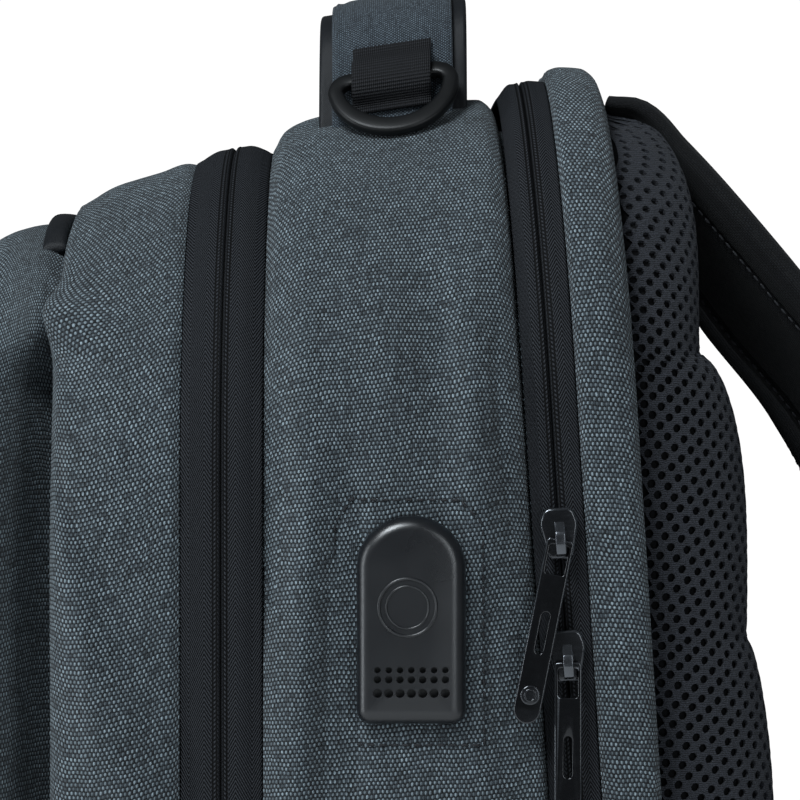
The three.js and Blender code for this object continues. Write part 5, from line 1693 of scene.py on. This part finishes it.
def pad_mesh_finish(name):
    """Knitted mesh: fine threads across it, in uneven greys."""
    f = Finish(name)
    place = f.place()
    height = f.node("ShaderNodeSeparateXYZ", {0: place}, 2)
    sway = f.product(f.noise(place, 500.0, 2.0), 9.0)
    wave = f.math("SINE", f.sum(f.product(height, 2 * math.pi / (0.62 * MM)), sway))
    grain = f.noise(place, 2300.0, 3.0, 0.7)
    shade = f.sum(f.product(wave, 0.28), f.spread(grain, 0.3, 0.7))
    colour = f.blend(shade, linear("07080a"), linear("3a3d45"))
    return f.done(colour, 0.7, f.bump(shade, 0.25 * MM), specular_ior_level=0.25, sheen_weight=0.05)


def thread_finish(name, colour):
    """Sewing thread: plain and a little shiny."""
    f = Finish(name)
    twist = f.noise(f.place(), 5200.0, 1.0)
    shade = f.blend(twist, linear(colour), linear("2a2b2f"))
    return f.done(shade, 0.6, f.bump(twist, 0.1 * MM), specular_ior_level=0.3)


def shade_of(name):
    """A colour from the settings with full cover."""
    return (*getattr(settings(), name), 1.0)


FINISH_MAKERS = {
    "pad_mesh": lambda: pad_mesh_finish("pad_mesh"),
    "thread": lambda: thread_finish("thread", "0b0d0f"),
    "webbing_thread": lambda: thread_finish("webbing_thread", "17181b"),
    "bag_cloth": lambda: woven_cloth(
        "bag_cloth", ROW_PITCH, YARN_PITCH, linear("08090b"),
        (linear("0f1114"), shade_of("dark_yarn")), (linear("2b3237"), shade_of("light_yarn")), 0.5,
    ),
    "handle_cloth": lambda: woven_cloth(
        "handle_cloth", 0.62, 0.46, linear("101317"),
        (linear("171b20"), linear("333b43")), (linear("2d343b"), linear("6f7c86")), 0.14,
    ),
    "strap_cloth": strap_cloth_finish,
    "webbing": webbing_finish,
    "handle_binding": binding_finish,
    "hard_plastic": lambda: moulded_finish(
        "hard_plastic", "08090a", "111213", 0.4, 0.35, 0.02, specular_ior_level=0.3
    ),
    "port_rubber": lambda: moulded_finish(
        "port_rubber", "0b0c0f", "131519", 0.3, 0.2, 0.03, specular_ior_level=0.75
    ),
    "zip_metal": zip_metal_finish,
    "pad_core": pad_core_finish,
    "zipper_tape": lambda: zipper_tape_finish("zipper_tape"),
    "dark_lining": lining_finish,
    "pale_floor": floor_finish,
}


# Heights at the pocket's sides: the gap under its seam, the seam's start and end, and two pressed lines
POCKET_GAP_HEIGHTS = (372, 397)
POCKET_SEAM_START = (372, 396)
POCKET_SEAM_END = (404, 425)
POCKET_HEM_HEIGHTS = (402, 411)
POCKET_SEAM_REACH = 7
POCKET_TUCK = 26


def pocket_relief(points, out, share):
    """The pocket's own unevenness, with its sides pushed out to the bag's where its back is sewn in."""
    height = points[:, 2]
    beside = np.abs(out[:, 0]) ** 2 * smooth(height, *POCKET_SEAM_START)
    beside = beside * (1 - smooth(height, *POCKET_SEAM_END))
    slack = np.abs(out[:, 0]) ** 2 * smooth(share, 0.4, 0.9)
    hem = sum(np.exp(-(((height - line) / 3) ** 2)) for line in POCKET_HEM_HEIGHTS)
    return cloth_relief(11)(points, out, share) + slack * (POCKET_SEAM_REACH * beside - 0.5 * hem)


def tuck_pocket_back(rings):
    """Below the end of its seam the pocket's back curves in, which leaves a dark gap beside it."""
    for ring in rings:
        near_back = smooth(ring[:, 1], FRONT_WALL_FACE - 21, FRONT_WALL_FACE - 2)
        below = 1 - smooth(ring[:, 2], *POCKET_GAP_HEIGHTS)
        beside = smooth(np.abs(ring[:, 0]), 60, 118)
        ring[:, 0] -= np.sign(ring[:, 0]) * POCKET_TUCK * near_back * below * beside


def make_front_pocket():
    rings, flat = tray_rings(
        pocket_ring, POCKET_ROWS, POCKET_FRONT, FRONT_WALL_FACE - SEAM_GAP, even_shares(40, 1.5),
        pocket_relief, -4.5, 21,
    )
    tuck_pocket_back(rings)
    piece = shell_object("front_pocket_cloth", rings, Finishes.get("bag_cloth"), flat)
    settle(piece, "cloth", "bag", "front_pocket")


def make_front_pocket_zipper():
    """The short zip over the pocket's top, a dark hump that sinks away at both ends."""
    ring, out = pocket_ring(FRONT_WALL_FACE - SEAM_GAP - POCKET_ZIPPER_DEPTH / 2, 1, 1, FINE)
    top = (ring[:, 2] > POCKET_TOP - 70) & (np.abs(ring[:, 0]) < POCKET_ZIPPER_HALF_LENGTH)
    order = np.argsort(ring[top, 0])
    line, outward = ring[top][order], out[top][order]
    profile = []
    for turn in np.linspace(0, 2 * math.pi, 28, endpoint=False):
        depth = np.sign(math.cos(turn)) * abs(math.cos(turn)) ** 0.7 * POCKET_ZIPPER_DEPTH / 2
        swell = np.sign(math.sin(turn)) * abs(math.sin(turn)) ** 0.75
        profile.append((depth, 1.4 + swell * (POCKET_ZIPPER_RISE - 1.4)))
    sections = []
    for place, away in zip(line, outward):
        sunk = 1 - smooth(abs(place[0]), POCKET_ZIPPER_HALF_LENGTH - 14, POCKET_ZIPPER_HALF_LENGTH + 3)
        full = 0.35 + 0.65 * sunk
        sections.append(np.array([place + away * up * full + (0, depth, 0) for depth, up in profile]))
    piece = swept_object("front_pocket_zipper_tape", sections, Finishes.get("handle_binding"))
    settle(piece, "zipper_tape", "bag", "front_pocket_zipper")


def bind_seam(name, row, seam, piece):
    """A thin loop inside the bag that covers a seam's gap from within; the row is the one at the seam."""
    rows = ((0, *row[1:]), (1, *row[1:]))
    face, inner = (
        cloth_rings(
            body_ring, rows, seam - BINDING_HALF_WIDTH, seam + BINDING_HALF_WIDTH,
            np.array([0.0, 1.0]), FINE, None, 0.0, -WALL - depth,
        )
        for depth in (BINDING_DEPTH, BINDING_DEPTH + BINDING_THICKNESS)
    )
    settle(loop_object(name, face + inner[::-1], Finishes.get("bag_cloth")), "cloth", "bag", piece)


# Where the compartment's front edge hangs forward: how far, and at what height
FRONT_EDGE_BULGES = ((7.5, 401), (2, 428))
FRONT_EDGE_OVER_TOP = 4.5


def push_front_edge(rings):
    """The compartment's front edge hangs forward over the pocket's back, most where its seam ends."""
    for ring in rings:
        depth, height = ring[:, 1], ring[:, 2]
        near_edge = 1 - smooth(depth, FRONT_WALL_FACE + 2, FRONT_WALL_FACE + 20)
        outside = smooth(np.abs(ring[:, 0]), 112, 141)
        seam_end = sum(reach * np.exp(-(((height - at) / 12) ** 2)) for reach, at in FRONT_EDGE_BULGES)
        over_top = FRONT_EDGE_OVER_TOP * smooth(height, 430, 446)
        over_top = over_top * (1 - smooth(depth, FRONT_WALL_FACE, FRONT_WALL_FACE + 30))
        ring[:, 1] -= near_edge * outside * seam_end + over_top


def make_front_compartment():
    rings, flat = tray_rings(
        body_ring, FRONT_COMPARTMENT_ROWS, FRONT_WALL_FACE, FRONT_COMPARTMENT_BACK - SEAM_GAP / 2,
        even_shares(46, 1.4), cloth_relief(12), 0.0, 22,
    )
    push_front_edge(rings)
    piece = shell_object("front_compartment_cloth", rings, Finishes.get("bag_cloth"), flat)
    settle(piece, "cloth", "bag", "front_compartment")
    bind_seam(
        "front_compartment_binding", FRONT_COMPARTMENT_ROWS[-1], FRONT_COMPARTMENT_BACK,
        "front_compartment",
    )


def tape_shares():
    """Shares across a zip band, close together at its centre line, where the tape folds in."""
    half = np.concatenate([np.linspace(0, 0.42, 11), np.linspace(0.44, 0.5, 7)])
    return np.concatenate([half, 1 - half[-2::-1]])


def tape_relief(points, out, share):
    off = abs(share - 0.5)
    groove = -1.0 * math.exp(-((off / 0.022) ** 2)) + 0.35 * math.exp(-(((off - 0.05) / 0.03) ** 2))
    return np.full(len(points), groove) + 0.25 * wander(points, 30, 91) * (off < 0.45)


def make_arched_zip(word, rows, front, back):
    """One arched zip band, and the plain cloth below its ends."""
    rings = band_rings(
        body_ring, rows, front + SEAM_GAP / 2, back - SEAM_GAP / 2,
        tape_shares(), tape_relief, wall=ZIPPER_WALL,
    )
    tape = arch_object(f"{word}_zipper_tape", rings, Finishes.get("zipper_tape"), ZIPPER_END_HEIGHT)
    settle(tape, "zipper_tape", "bag", f"{word}_zipper")
    hinge = cradle_object(
        f"{word}_hinge_cloth", rings, Finishes.get("bag_cloth"), ZIPPER_END_HEIGHT - 0.4
    )
    settle(hinge, "cloth", "bag", f"{word}_hinge_gusset")


def make_main_zipper():
    make_arched_zip("main", MAIN_ZIPPER_ROWS, FRONT_COMPARTMENT_BACK, MAIN_GUSSET_FRONT)


def make_main_gusset():
    rings = band_rings(
        body_ring, MAIN_GUSSET_ROWS, MAIN_GUSSET_FRONT + SEAM_GAP / 2, MAIN_GUSSET_BACK - SEAM_GAP / 2,
        even_shares(64, 1.4), cloth_relief(13),
    )
    piece = loop_object("main_gusset_cloth", rings, Finishes.get("bag_cloth"))
    settle(piece, "cloth", "bag", "main_gusset")
    bind_seam("main_gusset_front_binding", MAIN_GUSSET_ROWS[0], MAIN_GUSSET_FRONT, "main_gusset")
    bind_seam("main_gusset_back_binding", MAIN_GUSSET_ROWS[-1], MAIN_GUSSET_BACK, "main_gusset")


def gusset_side(y, z):
    """Place on the right side of the main part's cloth at a depth and a height."""
    spread = LEAN_SLOPE * (LEAN_HEIGHT - z) / (MAIN_GUSSET_BACK - MAIN_GUSSET_FRONT)
    unleaned = (y + MAIN_GUSSET_FRONT * spread) / (1 + spread)
    share = float(np.clip((unleaned - MAIN_GUSSET_FRONT) / (MAIN_GUSSET_BACK - MAIN_GUSSET_FRONT), 0, 1))
    inset = float(through_rows(MAIN_GUSSET_ROWS, 1, [share])[0])
    x = HALF_WIDTH - inset + BELLY * math.sin(math.pi * float(smooth(z, inset, BODY_TOP)))
    relief = cloth_relief(13)(np.array([[x, y, z]]), np.array([[1.0, 0, 0]]), share)[0]
    return np.array([x + relief + 0.3, y, z])


PATCH_OUTLINE = ((2, 344), (34, 344), (40.5, 337), (41, 272), (-3.5, 272), (-3, 337), (2, 344))


def make_seam_stitches(pitch, thread):
    """The stitched outline of the patch that holds the port cover."""
    line = []
    for (y0, z0), (y1, z1) in zip(PATCH_OUTLINE, PATCH_OUTLINE[1:]):
        count = max(2, int(math.hypot(y1 - y0, z1 - z0) / 1.5))
        line += [gusset_side(y0 + (y1 - y0) * k / count, z0 + (z1 - z0) * k / count) for k in range(count)]
    line.append(line[0])
    piece = stitch_run("patch_stitches", [line], Finishes.get("thread"), pitch, thread=thread)
    settle(piece, "cloth", "bag", "main_gusset")


def make_laptop_zipper():
    make_arched_zip("laptop", LAPTOP_ZIPPER_ROWS, MAIN_GUSSET_BACK, LAPTOP_ZIPPER_BACK)


def make_back_panel():
    rings, flat = tray_rings(
        body_ring, BACK_PANEL_ROWS, LAPTOP_ZIPPER_BACK + SEAM_GAP / 2, BACK_FACE,
        even_shares(26, 1.4), cloth_relief(14), 0.0, 24, closed_at="back",
    )
    piece = shell_object("back_panel_cloth", rings, Finishes.get("bag_cloth"), flat)
    settle(piece, "cloth", "bag", "back_panel")
    bind_seam("back_panel_binding", LAPTOP_ZIPPER_ROWS[-1], LAPTOP_ZIPPER_BACK, "back_panel")


LAMP_COLOUR = (0.88, 0.95, 1.0)
ROOM_COLOUR = (0.84, 0.93, 1, 1)
BACKDROP_STRENGTH = 1.05


def aimed(piece, place, aim):
    """Puts a lamp or a camera at a place and turns it to a point."""
    piece.location = place
    piece.rotation_euler = (aim - place).to_track_quat("-Z", "Y").to_euler()


def area_light(name, place, aim, size, power, size_y=None):
    lamp = bpy.data.lights.new(name, "AREA")
    lamp.shape = "RECTANGLE"
    lamp.size = size
    lamp.size_y = size_y or size
    lamp.energy = power
    lamp.color = LAMP_COLOUR
    aimed(linked(name, lamp), Vector(place), Vector(aim))


# The photograph's view: its camera's field in degrees and the point it looks at, in metres
VIEW_FIELD = 13.42
VIEW_AIM = (0.160, 0.0162, 0.3732)
SENSOR_WIDTH = 36
FLOOR_REACH = 1500


def make_stage(view_distance, view_rise, key_power, room_light):
    scene = bpy.context.scene
    scene.view_settings.view_transform = "Standard"
    world = bpy.data.worlds.new("white_room")
    scene.world = world
    world.use_nodes = True
    tree = world.node_tree
    tree.nodes.clear()
    seen, lit = (tree.nodes.new("ShaderNodeBackground") for _ in range(2))
    for node, colour, strength in ((seen, (1, 1, 1, 1), BACKDROP_STRENGTH), (lit, ROOM_COLOUR, room_light)):
        node.inputs["Color"].default_value = colour
        node.inputs["Strength"].default_value = strength
    path = tree.nodes.new("ShaderNodeLightPath")
    mixed = tree.nodes.new("ShaderNodeMixShader")
    out = tree.nodes.new("ShaderNodeOutputWorld")
    tree.links.new(path.outputs["Is Camera Ray"], mixed.inputs[0])
    tree.links.new(lit.outputs[0], mixed.inputs[1])
    tree.links.new(seen.outputs[0], mixed.inputs[2])
    tree.links.new(mixed.outputs[0], out.inputs["Surface"])
    area_light("key_from_above", (1.15, -0.6, 1.6), (0.15, 0, 0.36), 0.6, key_power)
    area_light("strip_in_front", (0.62, -1.5, 0.45), (0.15, 0, 0.36), 0.25, 0.3 * key_power, 1.2)
    area_light("strip_behind", (1.5, 0.75, 0.6), (0.15, 0.05, 0.36), 0.25, 0.16 * key_power, 1.0)
    reach = FLOOR_REACH
    corners = [[-reach, -reach], [reach, -reach], [reach, reach], [-reach, reach]]
    points = np.array([[*corner, -0.5] for corner in corners] + [[0, 0, -12]], float)
    faces = [(0, 1, 2, 3), (1, 0, 4), (2, 1, 4), (3, 2, 4), (0, 3, 4)]
    floor = mesh_object("floor", points, faces, Finishes.get("pale_floor"), None, False)
    camera_data = bpy.data.cameras.new("photo_camera")
    camera_data.sensor_width = SENSOR_WIDTH
    camera_data.lens = SENSOR_WIDTH / 2 / math.tan(math.radians(VIEW_FIELD) / 2)
    scene.camera = linked("photo_camera", camera_data)
    aim = Vector(VIEW_AIM)
    rise = math.radians(view_rise)
    aimed(scene.camera, aim + view_distance * Vector((math.cos(rise), 0, math.sin(rise))), aim)


class BackpackSettings(bpy.types.PropertyGroup):
    """Sizes and colours of the backpack that can be changed in the sidebar"""

    light_yarn: FloatVectorProperty(
        name="Light yarn", description="Lightest shade of the cloth's light yarns", subtype="COLOR",
        size=3, min=0, max=1, default=(0.325, 0.405, 0.45),
    )
    dark_yarn: FloatVectorProperty(
        name="Dark yarn", description="Lightest shade of the cloth's dark yarns", subtype="COLOR",
        size=3, min=0, max=1, default=(0.05, 0.063, 0.077),
    )
    tape_colour: FloatVectorProperty(
        name="Zip tape", description="Lightest shade of the zips' tapes", subtype="COLOR",
        size=3, min=0, max=1, default=(0.035, 0.038, 0.044),
    )
    mesh_hole_radius: FloatProperty(
        name="Mesh hole radius", description="Radius of the holes in the back pad's mesh, in millimetres",
        default=1.36, min=0.4, max=1.6,
    )
    stitch_pitch: FloatProperty(
        name="Stitch pitch", description="Length of one stitch with its gap, in millimetres",
        default=3.4, min=2, max=8,
    )
    thread_thickness: FloatProperty(
        name="Thread thickness", description="Thickness of the sewing thread, in millimetres",
        default=0.8, min=0.2, max=1.2,
    )
    view_distance: FloatProperty(
        name="View distance", description="From the camera to the bag's side", unit="LENGTH",
        default=1.0, min=0.3, max=5,
    )
    view_rise: FloatProperty(
        name="View rise", description="How far the camera stands above the level, in degrees",
        default=1.5, min=-20, max=80,
    )
    key_power: FloatProperty(
        name="Key light", description="Power of the main lamp, in watts", default=27, min=0, max=400,
    )
    room_light: FloatProperty(
        name="Room light", description="Strength of the white room's light", default=0.11, min=0, max=3,
    )


def settings():
    return bpy.context.scene.backpack


class BackpackStep:
    """One step of the making: it runs the step's own function and stops if nothing was made"""

    bl_options = {"REGISTER", "UNDO"}

    def execute(self, context):
        before = len(bpy.data.objects)
        self.make(context.scene.backpack)
        if len(bpy.data.objects) == before:
            raise RuntimeError(f"{self.bl_label} made nothing")
        return {"FINISHED"}


class BACKPACK_OT_stage(BackpackStep, bpy.types.Operator):
    """Makes the camera, the lamps, the white room and the floor"""

    bl_idname = "backpack.stage"
    bl_label = "Stage"

    def make(self, chosen):
        make_stage(chosen.view_distance, chosen.view_rise, chosen.key_power, chosen.room_light)


class BACKPACK_OT_front_pocket(BackpackStep, bpy.types.Operator):
    """Makes the front pocket's cloth and its short zip"""

    bl_idname = "backpack.front_pocket"
    bl_label = "Front pocket"

    def make(self, chosen):
        make_front_pocket()
        make_front_pocket_zipper()


class BACKPACK_OT_front_compartment(BackpackStep, bpy.types.Operator):
    """Makes the front compartment's cloth"""

    bl_idname = "backpack.front_compartment"
    bl_label = "Front compartment"

    def make(self, chosen):
        make_front_compartment()


class BACKPACK_OT_main_part(BackpackStep, bpy.types.Operator):
    """Makes the wide middle band and the seam round the port cover's patch"""

    bl_idname = "backpack.main_part"
    bl_label = "Main part"

    def make(self, chosen):
        make_main_gusset()
        make_seam_stitches(chosen.stitch_pitch, chosen.thread_thickness)


class BACKPACK_OT_zips(BackpackStep, bpy.types.Operator):
    """Makes the two arched zips and the plain cloth below their ends"""

    bl_idname = "backpack.zips"
    bl_label = "Zips"

    def make(self, chosen):
        make_main_zipper()
        make_laptop_zipper()


class BACKPACK_OT_back(BackpackStep, bpy.types.Operator):
    """Makes the back panel and its padded mesh"""

    bl_idname = "backpack.back"
    bl_label = "Back"

    def make(self, chosen):
        make_back_panel()
        make_back_pad(chosen.mesh_hole_radius)


class BACKPACK_OT_straps(BackpackStep, bpy.types.Operator):
    """Makes the shoulder straps with their adjusters, webbing and anchors"""

    bl_idname = "backpack.straps"
    bl_label = "Shoulder straps"

    def make(self, chosen):
        make_shoulder_straps(chosen.stitch_pitch, chosen.thread_thickness)
        make_strap_adjusters()
        make_strap_webbing()
        make_strap_anchors()


class BACKPACK_OT_handle(BackpackStep, bpy.types.Operator):
    """Makes the grab handle with the ring and its tab"""

    bl_idname = "backpack.handle"
    bl_label = "Handle and ring"

    def make(self, chosen):
        make_grab_handle()
        make_ring_tab()
        make_d_ring()


class BACKPACK_OT_port_cover(BackpackStep, bpy.types.Operator):
    """Makes the rubber cover of the charging port"""

    bl_idname = "backpack.port_cover"
    bl_label = "Port cover"

    def make(self, chosen):
        make_port_cover()


class BACKPACK_OT_zip_pulls(BackpackStep, bpy.types.Operator):
    """Makes the sliders and pulls of both arched zips"""

    bl_idname = "backpack.zip_pulls"
    bl_label = "Zip pulls"

    def make(self, chosen):
        make_zipper_pulls()


STEPS = (
    BACKPACK_OT_stage,
    BACKPACK_OT_front_pocket,
    BACKPACK_OT_front_compartment,
    BACKPACK_OT_main_part,
    BACKPACK_OT_zips,
    BACKPACK_OT_back,
    BACKPACK_OT_straps,
    BACKPACK_OT_handle,
    BACKPACK_OT_port_cover,
    BACKPACK_OT_zip_pulls,
)


class BACKPACK_PT_panel(bpy.types.Panel):
    """The backpack's settings and the buttons of its steps"""

    bl_label = "Travel backpack"
    bl_idname = "BACKPACK_PT_panel"
    bl_space_type = "VIEW_3D"
    bl_region_type = "UI"
    bl_category = "Backpack"

    def draw(self, context):
        for name in BackpackSettings.__annotations__:
            self.layout.prop(context.scene.backpack, name)
        for step in STEPS:
            self.layout.operator(step.bl_idname)


def register():
    bpy.utils.register_class(BackpackSettings)
    for step in STEPS:
        bpy.utils.register_class(step)
    bpy.utils.register_class(BACKPACK_PT_panel)
    bpy.types.Scene.backpack = PointerProperty(type=BackpackSettings)


def unregister():
    del bpy.types.Scene.backpack
    bpy.utils.unregister_class(BACKPACK_PT_panel)
    for step in reversed(STEPS):
        bpy.utils.unregister_class(step)
    bpy.utils.unregister_class(BackpackSettings)


def main():
    register()
    bpy.ops.backpack.stage()
    bpy.ops.backpack.front_pocket()
    bpy.ops.backpack.front_compartment()
    bpy.ops.backpack.main_part()
    bpy.ops.backpack.zips()
    bpy.ops.backpack.back()
    bpy.ops.backpack.straps()
    bpy.ops.backpack.handle()
    bpy.ops.backpack.port_cover()
    bpy.ops.backpack.zip_pulls()


if __name__ == "__main__":
    main()
